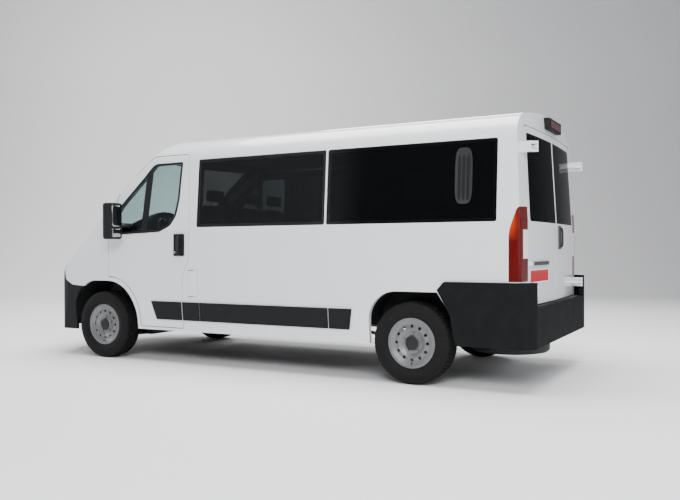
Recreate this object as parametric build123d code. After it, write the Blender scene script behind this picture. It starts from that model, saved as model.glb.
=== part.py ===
"""Low-roof minibus on a large front-wheel-drive panel-van base, as an assembly.

+X points to the nose, +Y to the vehicle's left, +Z up. The origin is on the ground, midway along the
length and the width. All sizes are in millimetres.

The body is one form: a cross section carried along X, cut by a nose and a tail turned about upright
axes and by a plan outline. Panels, doors, glass and lamps are layers of that form inside outlines that
are drawn in side view (X, Z), end view (Y, Z) or plan (X, Y), so each follows the same curved surface.
"""
from build123d import *
import os
from math import cos, pi, radians, sin, sqrt

os.makedirs("parts", exist_ok=True)

# ------------------------------------------------------------------ overall sizes
LENGTH = 5413.0
WIDTH = 2050.0
HEIGHT = 2254.0
WHEELBASE = 3450.0
FRONT_OVERHANG = 948.0
NOSE_X = LENGTH / 2
TAIL_X = -LENGTH / 2
FRONT_AXLE_X = NOSE_X - FRONT_OVERHANG
REAR_AXLE_X = FRONT_AXLE_X - WHEELBASE

# ------------------------------------------------------------------ thicknesses and gaps
WALL = 45.0            # doors, sides and roof, from outer sheet to inner trim
SHEET = 30.0           # bonnet, wings, bumper cover and scuttle
GLASS = 6.0
SHUT_GAP = 7.0         # round doors and bonnet
BONNET_REAR_GAP = 11.0 # the bonnet swings back as it rises
SEAT_GAP = 0.3         # between curved faces of different bodies
TRIM = 15.0            # mouldings and rear bumper stand this proud of the side

# ------------------------------------------------------------------ body form
FORM_BASE_Z = 180.0
SILL_HALF, SILL_Z = 985.0, 319.0
WAIST_HALF, WAIST_Z = WIDTH / 2 - TRIM, 600.0
BELT_HALF, BELT_Z = 1000.0, 1300.0
CANT_HALF, CANT_Z = 948.0, 1980.0
SHOULDER_HALF, SHOULDER_Z = 780.0, HEIGHT - 69.0
ROOF_SPLIT_Z = 2100.0
NOSE_SPIN_X = -500.0   # upright axis that the nose and windscreen are turned about
NOSE_R = 1640.0        # plan radius of the bumper
NOSE_CORNER_R = 260.0
TAIL_DOOR_X = -2645.0  # rear doors at mid-width
TAIL_R = 10400.0       # plan radius of the rear doors
TAIL_CORNER_R = 60.0
TAIL_CORNER_MIN = 8.0
PLAN_HALF = WAIST_HALF + 2
TAIL_CLEAR = 2.0       # the leaning tail face starts this far behind the plan outline
TAIL_LEAN = 57.0       # the roof's rear edge lies this far ahead of the doors' waist

# nose and windscreen in side view at mid-width: x, z and the direction of the wall's thickness
CHIN = (NOSE_X - 60.0, FORM_BASE_Z, 1.0, 0.0)
BUMPER_LOW = (NOSE_X, 400.0, 1.0, 0.0)
BUMPER_TOP = (NOSE_X, 620.0, 1.0, 0.3)
FASCIA_LOW = (2590.0, 735.0, 1.0, 0.3)
FASCIA_TOP = (2500.0, 930.0, 0.9, 0.5)
BONNET_MID = (2340.0, 1090.0, 0.65, 0.76)
SCREEN_LOW = (2130.0, 1270.0, 0.68, 0.74)
SCREEN_MID = (1720.0, 1735.0, 0.72, 0.69)
SCREEN_TOP = (1250.0, 2120.0, 0.60, 0.80)
BROW_MID = (960.0, 2215.0, 0.25, 0.97)
BROW_END = (500.0, HEIGHT + 8.0, 0.0, 1.0)

# ------------------------------------------------------------------ wheels and arches
TYRE_R, TYRE_W = 341.0, 215.0
RIM_R = 208.0
FRONT_TRACK_HALF, REAR_TRACK_HALF = 905.0, 895.0
ARCH_GAP = 45.0
FRONT_ARCH = ((FRONT_AXLE_X - 468, 150), (FRONT_AXLE_X - 468, 795, 400), (FRONT_AXLE_X + 400, 795, 300),
              (FRONT_AXLE_X + 400, 150))
REAR_ARCH = ((REAR_AXLE_X + 378, 150), (REAR_AXLE_X + 378, 765, 250), (REAR_AXLE_X - 236, 765),
             (REAR_AXLE_X - 350, 589), (REAR_AXLE_X - 385, 392), (REAR_AXLE_X - 385, 150))
ARCH_INNER_Y = 740.0

# ------------------------------------------------------------------ outlines in side view (x, z, fillet)
DOOR_FRONT_X = 1676.0
CAB_DOOR = ((DOOR_FRONT_X, 842), (DOOR_FRONT_X, 1330), (1530, 1722, 120), (1180, 1982, 60), (1095, 2038, 120),
            (668, 2038, 30), (628, 1400, 400), (633, 1010, 120), (704, 860, 120), (704, 352, 12),
            (1246, 352, 12), (1246, 842, 425))
CAB_PANE = ((1650, 1262, 10), (1640, 1410, 20), (1525, 1565, 60), (1100, 1955, 20), (1065, 1968, 30), (729, 1970, 15),
            (755, 1600, 200), (790, 1440, 160), (862, 1345, 120), (1000, 1287, 60))
QUARTER_BAR = ((1174, 1995), (1094, 1995), (1160, 1240), (1240, 1240))
WINDOW_LOW_Z, WINDOW_TOP_Z = 1327.0, 1981.0
LEFT_PANES = ((532, -880), (-900, -2416))
SLIDING_DOOR = (600.0, -650.0, 352.0, 2038.0)
SLIDING_PANE = (532, -588)
RIGHT_PANES = ((-712, -1552), (-1572, -2416))
FUEL_FLAP = ((630, 657, 12), (630, 926, 12), (512, 926, 12), (512, 657, 12))
FLAP_GAP = 4.0
RAIL_GROOVE = (-665.0, -2060.0, 1222.0, 1278.0)   # x from and to, z from and to
RAIL_GROOVE_DEPTH, RAIL_H = 14.0, 16.0
SLIDE_HANDLE = ((560, 1051, 12), (560, 1265, 12), (436, 1265, 12), (436, 1051, 12))
PILLAR_X = 720.0       # rear end of the cab frame
WING_REAR_X = DOOR_FRONT_X + SHUT_GAP
WING_TOP_Z = 1322.0
BUMPER_SIDE = ((2040, 735), (2200, 745, 60), (2310, 805, 40), (2352, 932), (2850, 932), (2850, 275), (2040, 275))
TAIL_LAMP_SIDE = ((-2512, 859), (-2512, 1250, 300), (-2580, 1446, 60), (-2800, 1446), (-2800, 859))
REAR_BUMPER_SIDE = ((-2700, 345), (-2095, 345), (-2076, 392), (-2042, 589), (-1932, 785), (-1990, 852, 30),
                    (-2800, 852), (-2800, 345))

# ------------------------------------------------------------------ outlines in end view (y, z, fillet)
REAR_DOOR = ((8, 668), (800, 668, 10), (800, 1600), (775, 2088, 50), (8, 2088))
REAR_PANE = ((18, 1331), (765, 1331, 25), (742, 2035, 25), (18, 2035))
SCREEN = ((870, 1330, 40), (790, 2082, 60), (-790, 2082, 60), (-870, 1330, 40))
HEADLAMP = ((600, 945, 20), (880, 985, 40), (975, 1090, 40), (985, 1250, 20), (900, 1205, 60), (640, 1050, 30))
UPPER_GRILLE = (600.0, 752.0, 918.0)
LOWER_INTAKE = (470.0, 335.0, 440.0)
GRILLE_FRAME, SLAT_T = 12.0, 9.0

# bonnet in plan (x, y)
BONNET_HALF = ((1900, 868), (2260, 705), (2800, 585))
SCREEN_SPIN_R, SCUTTLE_SPIN_R = 2575.0, 2640.0


# ------------------------------------------------------------------ drawing helpers
def outline(points):
    """Closed face through corners (u, v) or (u, v, fillet radius)."""
    corners = [point[:2] for point in points]
    radii = [point[2] if len(point) > 2 else 0 for point in points]
    if any(radii):
        return make_face(FilletPolyline(*corners, radius=radii, close=True))
    return make_face(Polyline(*corners, close=True))


def grown(face, amount):
    return offset(face, amount=amount, kind=Kind.INTERSECTION)


def side_prism(face, y_from, y_to):
    """A face drawn in (x, z), carried from y_from to y_to."""
    plane = Plane(origin=(0, y_to, 0), x_dir=(1, 0, 0), z_dir=(0, -1, 0))
    return extrude(plane * face, amount=y_to - y_from)


def end_prism(face, x_from, x_to):
    """A face drawn in (y, z), carried from x_from to x_to."""
    return extrude(Plane.YZ.offset(x_from) * face, amount=x_to - x_from)


def plan_prism(face, z_from, z_to):
    """A face drawn in (x, y), carried from z_from to z_to."""
    return extrude(Plane.XY.offset(z_from) * face, amount=z_to - z_from)


def block(x, y, z):
    """Box between pairs of coordinates."""
    centre = ((x[0] + x[1]) / 2, (y[0] + y[1]) / 2, (z[0] + z[1]) / 2)
    return Pos(*centre) * Box(abs(x[1] - x[0]), abs(y[1] - y[0]), abs(z[1] - z[0]))


def rectangle(u, v):
    return outline(((u[0], v[0]), (u[1], v[0]), (u[1], v[1]), (u[0], v[1])))


def other_side(shape):
    return mirror(shape, about=Plane.XZ)


def tube_y(x, z, radius, y_from, y_to):
    """Cylinder along Y."""
    return Pos(x, (y_from + y_to) / 2, z) * Rot(X=90) * Cylinder(radius, abs(y_to - y_from))


def rod(start, end, radius):
    """Cylinder between two points."""
    start, end = Vector(*start), Vector(*end)
    return extrude(Plane(origin=start, z_dir=end - start) * Circle(radius), amount=(end - start).length)


def write(node, *shapes):
    solids = [solid for shape in shapes for solid in shape.solids()]
    whole = Compound(children=solids)
    whole.label = node
    export_step(whole, f"parts/{node}.step")


# ------------------------------------------------------------------ the body form
def cross_section(inset):
    """Half-width steps in to the roof: sill, waist, belt, cant rail, shoulder arc and crown."""
    foot = (SILL_HALF - inset, FORM_BASE_Z)
    sill = (SILL_HALF - inset, SILL_Z)
    waist = (WAIST_HALF - inset, WAIST_Z)
    belt = (BELT_HALF - inset, BELT_Z)
    cant = (CANT_HALF - inset, CANT_Z)
    shoulder = (SHOULDER_HALF - inset * 0.45, SHOULDER_Z - inset * 0.95)
    flank = Polyline(foot, sill, waist, belt, cant)
    arc = TangentArc(cant, shoulder, tangent=(cant[0] - belt[0], cant[1] - belt[1]))
    far_flank = mirror(flank, about=Plane.YZ)
    far_arc = mirror(arc, about=Plane.YZ)
    crown = ThreePointArc(shoulder, (0, HEIGHT - inset), (-shoulder[0], shoulder[1]))
    base = Line(foot, (-foot[0], foot[1]))
    return make_face(flank.edges() + arc.edges() + crown.edges() + far_arc.edges() + far_flank.edges() + base.edges())


def nose_profile(inset):
    """Side view of nose, bonnet, windscreen and brow ahead of the upright axis."""
    def at(point):
        return (point[0] - inset * point[2], point[1] - inset * point[3])
    chin = (CHIN[0] - inset, CHIN[1])
    top = HEIGHT + 50
    lower = Polyline((NOSE_SPIN_X, FORM_BASE_Z), chin, at(BUMPER_LOW), at(BUMPER_TOP), at(FASCIA_LOW), at(FASCIA_TOP))
    bonnet = ThreePointArc(at(FASCIA_TOP), at(BONNET_MID), at(SCREEN_LOW))
    screen = ThreePointArc(at(SCREEN_LOW), at(SCREEN_MID), at(SCREEN_TOP))
    brow = ThreePointArc(at(SCREEN_TOP), at(BROW_MID), at(BROW_END))
    close = Polyline(at(BROW_END), (BROW_END[0], top), (NOSE_SPIN_X, top), (NOSE_SPIN_X, FORM_BASE_Z))
    return make_face(lower.edges() + bonnet.edges() + screen.edges() + brow.edges() + close.edges())


def tail_profile(inset):
    """Side view of the rear doors, leaning forward above the waist."""
    rear = TAIL_DOOR_X - TAIL_CLEAR + inset
    top = HEIGHT + 50
    return outline(((rear, FORM_BASE_Z - 10), (rear, BELT_Z), (rear + TAIL_LEAN, top), (TAIL_DOOR_X + TAIL_R, top),
                    (TAIL_DOOR_X + TAIL_R, FORM_BASE_Z - 10)))


def plan_outline(inset):
    """Plan: arc across the nose, straight sides, and an arc across the tail, with the corners rounded."""
    front = NOSE_X - inset
    radius = NOSE_R - inset
    half = PLAN_HALF - inset
    rear = TAIL_DOOR_X + inset
    nose_side = front - radius + sqrt(radius ** 2 - half ** 2)
    tail_side = rear + TAIL_R - sqrt(TAIL_R ** 2 - half ** 2)
    nose = ThreePointArc((nose_side, half), (front, 0), (nose_side, -half))
    right = Line((nose_side, -half), (tail_side, -half))
    tail = ThreePointArc((tail_side, -half), (rear, 0), (tail_side, half))
    left = Line((tail_side, half), (nose_side, half))
    face = make_face(nose.edges() + right.edges() + tail.edges() + left.edges())
    face = fillet(face.vertices().sort_by(Axis.X)[-2:], NOSE_CORNER_R - inset)
    return fillet(face.vertices().sort_by(Axis.X)[:2], max(TAIL_CORNER_R - inset, TAIL_CORNER_MIN))


def body_form(inset):
    """The whole outer form, each face moved in by inset."""
    length = extrude(Plane.YZ.offset(TAIL_X - 50) * cross_section(inset), amount=LENGTH + 100)
    nose = revolve(Plane((0, 0, 0), x_dir=(1, 0, 0), z_dir=(0, -1, 0)) * nose_profile(inset),
                   Axis((NOSE_SPIN_X, 0, 0), (0, 0, 1)), 360)
    nose = nose + block((TAIL_X - 50, NOSE_SPIN_X), (-WIDTH, WIDTH), (FORM_BASE_Z, HEIGHT + 50))
    tail = revolve(Plane((0, 0, 0), x_dir=(1, 0, 0), z_dir=(0, -1, 0)) * tail_profile(inset),
                   Axis((TAIL_DOOR_X + TAIL_R, 0, 0), (0, 0, 1)), 360)
    plan = plan_prism(plan_outline(inset), FORM_BASE_Z, HEIGHT + 50)
    return length & plan & nose & tail


outer = body_form(0)
glass_inner = body_form(GLASS)
sheet_inner = body_form(SHEET)
wall_inner = body_form(WALL)
wall = outer - wall_inner
sheet = outer - sheet_inner
film = outer - glass_inner
proud = body_form(-TRIM) - outer

# ------------------------------------------------------------------ cutters shared by panels and doors
SIDE_Y = (560.0, 1100.0)
door_face = outline(CAB_DOOR)
door_prism = side_prism(door_face, *SIDE_Y)
door_opening = side_prism(grown(door_face, SHUT_GAP), *SIDE_Y)
front_arch = side_prism(outline(FRONT_ARCH), SIDE_Y[0], SIDE_Y[1])
rear_arch = side_prism(outline(REAR_ARCH), ARCH_INNER_Y, SIDE_Y[1])
rear_door_face = outline(REAR_DOOR)
rear_door_prism = end_prism(rear_door_face, -2800, -2480)
rear_opening_face = outline(tuple((y - 5 + SHUT_GAP if y > 10 else 0, z) for y, z in
                                  ((5, 661), (800 + 5, 661), (800 + 5, 1600), (775 + 5, 2095), (5, 2095))))
rear_opening = end_prism(rear_opening_face, -2800, -2480)
rear_bumper_prism = side_prism(outline(REAR_BUMPER_SIDE), -1200, 1200)
lamp_prism = side_prism(outline(TAIL_LAMP_SIDE), 818, SIDE_Y[1])
front_bumper_prism = side_prism(outline(BUMPER_SIDE), -1200, 1200)
headlamp_prism = end_prism(outline(HEADLAMP), 1900, 2800)
bonnet_plan = outline(BONNET_HALF + tuple((x, -y) for x, y in reversed(BONNET_HALF)))
bonnet_zone = plan_prism(bonnet_plan, 800, 1500)
bonnet_gap_zone = plan_prism(grown(bonnet_plan, SHUT_GAP), 800, 1500)
spin = Pos(NOSE_SPIN_X, 0, 1200)
inside_screen = spin * Cylinder(SCREEN_SPIN_R, 2400)
inside_scuttle = spin * Cylinder(SCUTTLE_SPIN_R, 2400)
inside_bonnet_gap = spin * Cylinder(SCUTTLE_SPIN_R + BONNET_REAR_GAP, 2400)
screen_prism = end_prism(outline(SCREEN), 700, 2600)
screen_hole = end_prism(grown(outline(SCREEN), -35), 700, 2600)


def inlay(panel, prism, hole):
    """Cut a flush pane's rebate and its through opening in a panel."""
    return panel - (film & prism) - hole


def pane_face(x_pair):
    return outline(((x_pair[0], WINDOW_LOW_Z, 18), (x_pair[0], WINDOW_TOP_Z, 18), (x_pair[1], WINDOW_TOP_Z, 18),
                    (x_pair[1], WINDOW_LOW_Z, 18)))


PANE_LAP = 28.0

# ------------------------------------------------------------------ left side
left_half = block((-2750, PILLAR_X), (0, 1200), (SILL_Z, ROOF_SPLIT_Z))
side = wall & left_half
side = side - door_opening - rear_opening - rear_arch - lamp_prism
side = side - block((-2750, -2500), (-10, 900), (0, 661)) - block((-2800, -2000), (0, 1200), (0, 400))
side_left = side
left_panes = []
for pair in LEFT_PANES:
    face = pane_face(pair)
    prism = side_prism(face, *SIDE_Y)
    side_left = inlay(side_left, prism, side_prism(grown(face, -PANE_LAP), *SIDE_Y))
    left_panes.append(film & prism)
flap_face = outline(FUEL_FLAP)
side_left = side_left - (film & (side_prism(flap_face, *SIDE_Y) - side_prism(grown(flap_face, -FLAP_GAP), *SIDE_Y)))
write("side_panel_left", side_left)

# ------------------------------------------------------------------ right side with its sliding door
slide_face = outline(((SLIDING_DOOR[0], SLIDING_DOOR[2], 60), (SLIDING_DOOR[0], SLIDING_DOOR[3], 60),
                      (SLIDING_DOOR[1], SLIDING_DOOR[3], 60), (SLIDING_DOOR[1], SLIDING_DOOR[2], 60)))
side_right = side - side_prism(grown(slide_face, SHUT_GAP), *SIDE_Y)
right_panes = []
for pair in RIGHT_PANES:
    face = pane_face(pair)
    prism = side_prism(face, *SIDE_Y)
    side_right = inlay(side_right, prism, side_prism(grown(face, -PANE_LAP), *SIDE_Y))
    right_panes.append(film & prism)
sliding_door = wall & side_prism(slide_face, *SIDE_Y)
face = pane_face(SLIDING_PANE)
prism = side_prism(face, *SIDE_Y)
sliding_door = inlay(sliding_door, prism, side_prism(grown(face, -PANE_LAP), *SIDE_Y))
right_panes.append(film & prism)
groove_x, groove_z = RAIL_GROOVE[:2], RAIL_GROOVE[2:]
rail_mid = (groove_z[0] + groove_z[1]) / 2
groove = block(groove_x, SIDE_Y, groove_z) - block(groove_x, SIDE_Y, (rail_mid - RAIL_H / 2, rail_mid + RAIL_H / 2))
side_right = side_right - (groove & (outer - body_form(RAIL_GROOVE_DEPTH)))
write("side_panel_right", other_side(side_right))
write("sliding_door", other_side(sliding_door))
write("side_glass", *left_panes, *[other_side(pane) for pane in right_panes])

# ------------------------------------------------------------------ roof and cab frame
roof = wall & block((-2750, 1700), (-1200, 1200), (ROOF_SPLIT_Z, HEIGHT + 60))
write("roof_panel", roof)
cab = wall & (block((PILLAR_X, WING_REAR_X), (-1200, 1200), (SILL_Z, ROOF_SPLIT_Z))
              + block((WING_REAR_X, 2250), (-1200, 1200), (WING_TOP_Z, ROOF_SPLIT_Z)))
cab = cab - door_opening - other_side(door_opening) - front_arch - other_side(front_arch)
cab = cab - (film & screen_prism) - screen_hole
write("cab_frame", cab)
windscreen = film & screen_prism & inside_screen
write("windscreen", windscreen)
# wipers: x and y of the pivot, then the blade's two ends along Y
WIPERS = ((2062.0, 330.0, 60.0, 650.0), (2070.0, -230.0, -540.0, 20.0))
WIPER_R, WIPER_W, WIPER_CAP_R = 2545.0, 14.0, 14.0   # the blades lie along this radius in plan
scuttle = (sheet & (inside_scuttle - inside_screen)) & block((1500, 2300), (-868, 868), (1150, WING_TOP_Z))
BONNET_AXIS = (2030.0, 1246.0)     # x, z of the bonnet hinge, along Y
BONNET_HINGE_Y = 780.0
KNUCKLE_R, KNUCKLE_HALF, LUG_T, BONNET_PIN_R = 9.0, 7.0, 9.0, 4.0
HINGE_CLEAR = 6.0
BONNET_SWING_R, BONNET_SWING_Y = 28.0, (600.0, 868.0)   # room in the scuttle for the bonnet's raised rear corners
bonnet_x, bonnet_z = BONNET_AXIS
knuckle_span = (BONNET_HINGE_Y - KNUCKLE_HALF, BONNET_HINGE_Y + KNUCKLE_HALF)
lug_spans = ((knuckle_span[0] - SEAT_GAP - LUG_T, knuckle_span[0] - SEAT_GAP),
             (knuckle_span[1] + SEAT_GAP, knuckle_span[1] + SEAT_GAP + LUG_T))
bonnet_knuckle = tube_y(bonnet_x, bonnet_z, KNUCKLE_R, *knuckle_span) + block(
    (bonnet_x, bonnet_x + 24), knuckle_span, (bonnet_z - KNUCKLE_R, bonnet_z))
hinge_range = (lug_spans[0][0] - HINGE_CLEAR, lug_spans[1][1] + HINGE_CLEAR)
swing_room = tube_y(bonnet_x, bonnet_z, BONNET_SWING_R, *BONNET_SWING_Y)
lug_room = tube_y(bonnet_x, bonnet_z, KNUCKLE_R + HINGE_CLEAR, *hinge_range) + block(
    (bonnet_x - 60, bonnet_x + 2), hinge_range, (bonnet_z - 40, bonnet_z + 60))
lug_tail = bonnet_x - BONNET_SWING_R - 1
lugs = [tube_y(bonnet_x, bonnet_z, KNUCKLE_R, *span)
        + block((lug_tail - 15, bonnet_x), span, (bonnet_z - KNUCKLE_R, bonnet_z + BONNET_PIN_R))
        + block((lug_tail - 15, lug_tail), span, (bonnet_z - KNUCKLE_R, bonnet_z + 24)) for span in lug_spans]
hinge_pin = tube_y(bonnet_x, bonnet_z, BONNET_PIN_R, lug_spans[0][0], lug_spans[1][1])
pin_room = tube_y(bonnet_x, bonnet_z, BONNET_PIN_R + SEAT_GAP, *knuckle_span)
for turn in (lambda shape: shape, other_side):
    scuttle = scuttle - turn(swing_room)
    for piece in lugs + [hinge_pin]:
        scuttle = scuttle + turn(piece)
wiper_ring = spin * Cylinder(WIPER_R + WIPER_W / 2, 2400) - spin * Cylinder(WIPER_R - WIPER_W / 2, 2400)
for pivot_x, pivot_y, blade_from, blade_to in WIPERS:
    blade_mid = (blade_from + blade_to) / 2
    blade_x = sqrt(WIPER_R ** 2 - blade_mid ** 2) + NOSE_SPIN_X
    arm_plan = outline(((pivot_x - WIPER_W, pivot_y), (pivot_x + WIPER_W, pivot_y), (blade_x + 5, blade_mid),
                        (blade_x - 5, blade_mid)))
    wiper = plan_prism(arm_plan, 1150, 1500) + Pos(pivot_x, pivot_y, 1300) * Cylinder(WIPER_CAP_R, 400)
    wiper = wiper + (wiper_ring & block((1500, 2300), (blade_from, blade_to), (1150, 1500)))
    scuttle = scuttle + (proud & wiper)
write("scuttle", scuttle)

# ------------------------------------------------------------------ nose
bonnet = (sheet & bonnet_zone) - inside_bonnet_gap - (headlamp_prism + other_side(headlamp_prism))
bonnet = bonnet & block((1800, 2800), (-1000, 1000), (942, 1400))
for turn in (lambda shape: shape, other_side):
    bonnet = bonnet - turn(lug_room) + turn(bonnet_knuckle) - turn(pin_room)
write("bonnet", bonnet)
wing = sheet & block((WING_REAR_X, 2700), (0, 1200), (690, WING_TOP_Z))
wing = wing - (bonnet_gap_zone - inside_scuttle) - scuttle - headlamp_prism - front_bumper_prism - front_arch
wing = wing - block((1500, 3000), (-1, 868), (690, WING_TOP_Z))
# cab door hinges: a goose-neck leaf on the wing reaches into a pocket in the door's front edge
DOOR_AXIS = (1636.0, 994.0)        # x, y of the left door's hinge, upright
DOOR_HINGE_Z = (900.0, 1180.0)
DOOR_KNUCKLE_R, DOOR_PIN_R = 5.5, 3.0
DOOR_LUG_HALF, DOOR_LEAF_HALF = 12.0, 34.0
axis_x, axis_y = DOOR_AXIS
r = DOOR_KNUCKLE_R
LEAF_NECK = ((-r, 0), (r, 0), (r, -62), (-r, -62))
LEAF_FOOT = ((-r, -48), (56, -48), (56, 0), (104, 0), (104, -62), (-r, -62))
POCKET_PLAN = ((-14, -80), (50, -80), (50, r + 1), (-14, r + 1))
door_pockets, door_lugs = [], []
for z in DOOR_HINGE_Z:
    at = Pos(axis_x, axis_y, z)
    neck, foot = [plan_prism(outline(tuple((axis_x + u, axis_y + v) for u, v in plan)), z - DOOR_LEAF_HALF,
                             z + DOOR_LEAF_HALF) for plan in (LEAF_NECK, LEAF_FOOT)]
    leaf = neck + (foot & sheet_inner) + at * Cylinder(r, 2 * DOOR_LEAF_HALF)
    leaf = leaf - at * Cylinder(14, 2 * (DOOR_LUG_HALF + SEAT_GAP)) + at * Cylinder(DOOR_PIN_R, 2 * DOOR_LEAF_HALF)
    wing = wing + leaf
    pocket = outline(tuple((axis_x + u, axis_y + v) for u, v in POCKET_PLAN))
    door_pockets.append(plan_prism(pocket, z - DOOR_LEAF_HALF - HINGE_CLEAR, z + DOOR_LEAF_HALF + HINGE_CLEAR))
    lug = block((axis_x - 18, axis_x), (axis_y - r, axis_y + r), (z - DOOR_LUG_HALF, z + DOOR_LUG_HALF))
    lug = lug + at * Cylinder(r, 2 * DOOR_LUG_HALF) - at * Cylinder(DOOR_PIN_R + SEAT_GAP, 3 * DOOR_LUG_HALF)
    door_lugs.append(lug)
write("front_wings", wing, other_side(wing))
headlamp = wall & headlamp_prism & block((1950, 2800), (0, 1200), (900, 1300))
headlamp = headlamp - bonnet_gap_zone
write("headlamps", headlamp, other_side(headlamp))
bumper = (sheet & front_bumper_prism) - front_arch - other_side(front_arch)
bumper = bumper - headlamp_prism - other_side(headlamp_prism)
grille_hole = block((2300, 2800), (-UPPER_GRILLE[0], UPPER_GRILLE[0]), UPPER_GRILLE[1:])
intake_hole = block((2300, 2800), (-LOWER_INTAKE[0], LOWER_INTAKE[0]), LOWER_INTAKE[1:])
TOW_SOCKET = (2495.0, 2560.0, 620.0, 540.0)   # x of its bottom and mouth, y, z
TOW_THREAD_R, TOW_BOSS_R, TOW_ACCESS_R = 8.0, 16.0, 24.0
tow_y, tow_z = TOW_SOCKET[2:]
tow_access = rod((2500, tow_y, tow_z), (2700, tow_y, tow_z), TOW_ACCESS_R)
write("front_bumper", bumper - grille_hole - intake_hole - tow_access)


def slatted(y_half, z_low, z_high, slats, ribs):
    """Frame of an opening in the nose, with level slats and a few uprights across it."""
    depth, inner = (2300, 2800), y_half - GRILLE_FRAME
    grid = block(depth, (-y_half, y_half), (z_low, z_high))
    grid = grid - block(depth, (-inner, inner), (z_low + GRILLE_FRAME, z_high - GRILLE_FRAME))
    pitch = (z_high - z_low) / (slats + 1)
    for i in range(1, slats + 1):
        middle = z_low + i * pitch
        grid = grid + block(depth, (-inner, inner), (middle - SLAT_T / 2, middle + SLAT_T / 2))
    for y in ribs:
        grid = grid + block(depth, (y - SLAT_T / 2, y + SLAT_T / 2), (z_low, z_high))
    return grid


write("grille", sheet & slatted(*UPPER_GRILLE, 4, (-300, 0, 300)), sheet & slatted(*LOWER_INTAKE, 2, (-235, 0, 235)))

# ------------------------------------------------------------------ tail
lamp = wall & lamp_prism
write("tail_lamps", lamp, other_side(lamp))
rear_door = wall & rear_door_prism
rear_pane_face = outline(REAR_PANE)
rear_pane_prism = end_prism(rear_pane_face, -2800, -2480)
rear_door = inlay(rear_door, rear_pane_prism, end_prism(grown(rear_pane_face, -PANE_LAP), -2800, -2480))
rear_pane = film & rear_pane_prism
write("rear_door_left", rear_door)
write("rear_door_right", other_side(rear_door))
write("rear_glass_left", rear_pane)
write("rear_glass_right", other_side(rear_pane))

# ------------------------------------------------------------------ cab doors
cab_door = (wall & door_prism) - front_arch
pane_face_cab = outline(CAB_PANE)
pane_prism = side_prism(pane_face_cab, *SIDE_Y)
cab_door = inlay(cab_door, pane_prism, side_prism(grown(pane_face_cab, -22), *SIDE_Y))
cab_pane = film & pane_prism
for pocket, lug in zip(door_pockets, door_lugs):
    cab_door = cab_door - pocket + lug
write("cab_door_left", cab_door)
write("cab_door_right", other_side(cab_door))
write("cab_glass_left", cab_pane)
write("cab_glass_right", other_side(cab_pane))


# ------------------------------------------------------------------ rear bumper and high brake lamp
def bumper_plan(inset):
    half = WIDTH / 2 - inset
    back = TAIL_X + inset
    face = rectangle((back, REAR_AXLE_X), (-half, half))
    return fillet(face.vertices().sort_by(Axis.X)[:2], REAR_BUMPER_CORNER - inset)


REAR_BUMPER_CORNER = 130.0
REAR_SILL_TOP_Z = 655.0
REAR_EAR_Y = 890.0
bumper_shell = plan_prism(bumper_plan(0) - bumper_plan(WALL), 300, 900)
rear_bumper = bumper_shell & rear_bumper_prism
rear_bumper = rear_bumper - block((-2800, -2600), (-REAR_EAR_Y, REAR_EAR_Y), (REAR_SILL_TOP_Z, 900))
rear_bumper = rear_bumper - outer - rear_arch - other_side(rear_arch)
write("rear_bumper", rear_bumper)
write("brake_lamp", block((-2640, -2560), (-220, 220), (2132, 2226)) - outer)

# ------------------------------------------------------------------ mouldings
MOULDING_Z = (427.0, 605.0)
MOULDING_JOINT = 7.0


def moulding(x_front, x_rear, slope_front=0, slope_rear=0):
    face = outline(((x_front, MOULDING_Z[1]), (x_front - slope_front, MOULDING_Z[0]),
                    (x_rear + slope_rear, MOULDING_Z[0]), (x_rear, MOULDING_Z[1])))
    return proud & side_prism(face, *SIDE_Y)


door_moulding = moulding(1086, 704 + MOULDING_JOINT, slope_front=61)
left_mouldings = [moulding(704 - 2 * MOULDING_JOINT, 489 + MOULDING_JOINT),
                  moulding(489 - MOULDING_JOINT, -926 + MOULDING_JOINT),
                  moulding(-926 - MOULDING_JOINT, -1156, slope_rear=28)]
right_mouldings = [moulding(704 - 2 * MOULDING_JOINT, SLIDING_DOOR[0] + MOULDING_JOINT),
                   moulding(SLIDING_DOOR[0] - MOULDING_JOINT, SLIDING_DOOR[1] + MOULDING_JOINT),
                   moulding(SLIDING_DOOR[1] - MOULDING_JOINT, -1156, slope_rear=28)]
slide_handle = proud & side_prism(outline(SLIDE_HANDLE), *SIDE_Y)
write("side_mouldings", *left_mouldings, *[other_side(strip) for strip in right_mouldings + [slide_handle]])

# ------------------------------------------------------------------ cab door fittings: handle, mirror, strip
HANDLE = ((802, 1051, 12), (802, 1265, 12), (678, 1265, 12), (678, 1051, 12))
SAIL = ((1650, 1268, 8), (1645, 1405, 20), (1532, 1560, 8), (1500, 1268, 8))
MIRROR_CENTRE = (1466.0, 1172.0, 1400.0)
MIRROR_GLASSES = ((1238.0, 1330.0), (1342.0, 1562.0))
MIRROR_RECESS = 8.0
film_proud = body_form(-4) - outer
handle = proud & side_prism(outline(HANDLE), *SIDE_Y)
bar = film_proud & side_prism(outline(QUARTER_BAR), *SIDE_Y) & pane_prism
sail = film_proud & side_prism(outline(SAIL), *SIDE_Y)
mirror_x, mirror_y, mirror_z = MIRROR_CENTRE
mirror_front = outline(((mirror_x + 73, mirror_y - 75, 70), (mirror_x + 73, mirror_y + 75, 55),
                        (mirror_x - 73, mirror_y + 75, 12), (mirror_x - 73, mirror_y - 75, 12)))
mirror_body = plan_prism(mirror_front, mirror_z - 180, mirror_z + 180)
mirror_body = fillet(mirror_body.edges().filter_by(Axis.Z, reverse=True), 22)
for glass_z in MIRROR_GLASSES:
    mirror_body = mirror_body - block((mirror_x - 80, mirror_x - 73 + MIRROR_RECESS), (mirror_y - 62, mirror_y + 62), glass_z)
arm = block((1490, 1560), (960, 1120), (1290, 1350)) - outer
mirror_arm = arm + mirror_body + sail
fittings = [door_moulding, handle, bar, mirror_arm]
write("cab_fittings_left", *fittings)
write("cab_fittings_right", *[other_side(piece) for piece in fittings])

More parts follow.
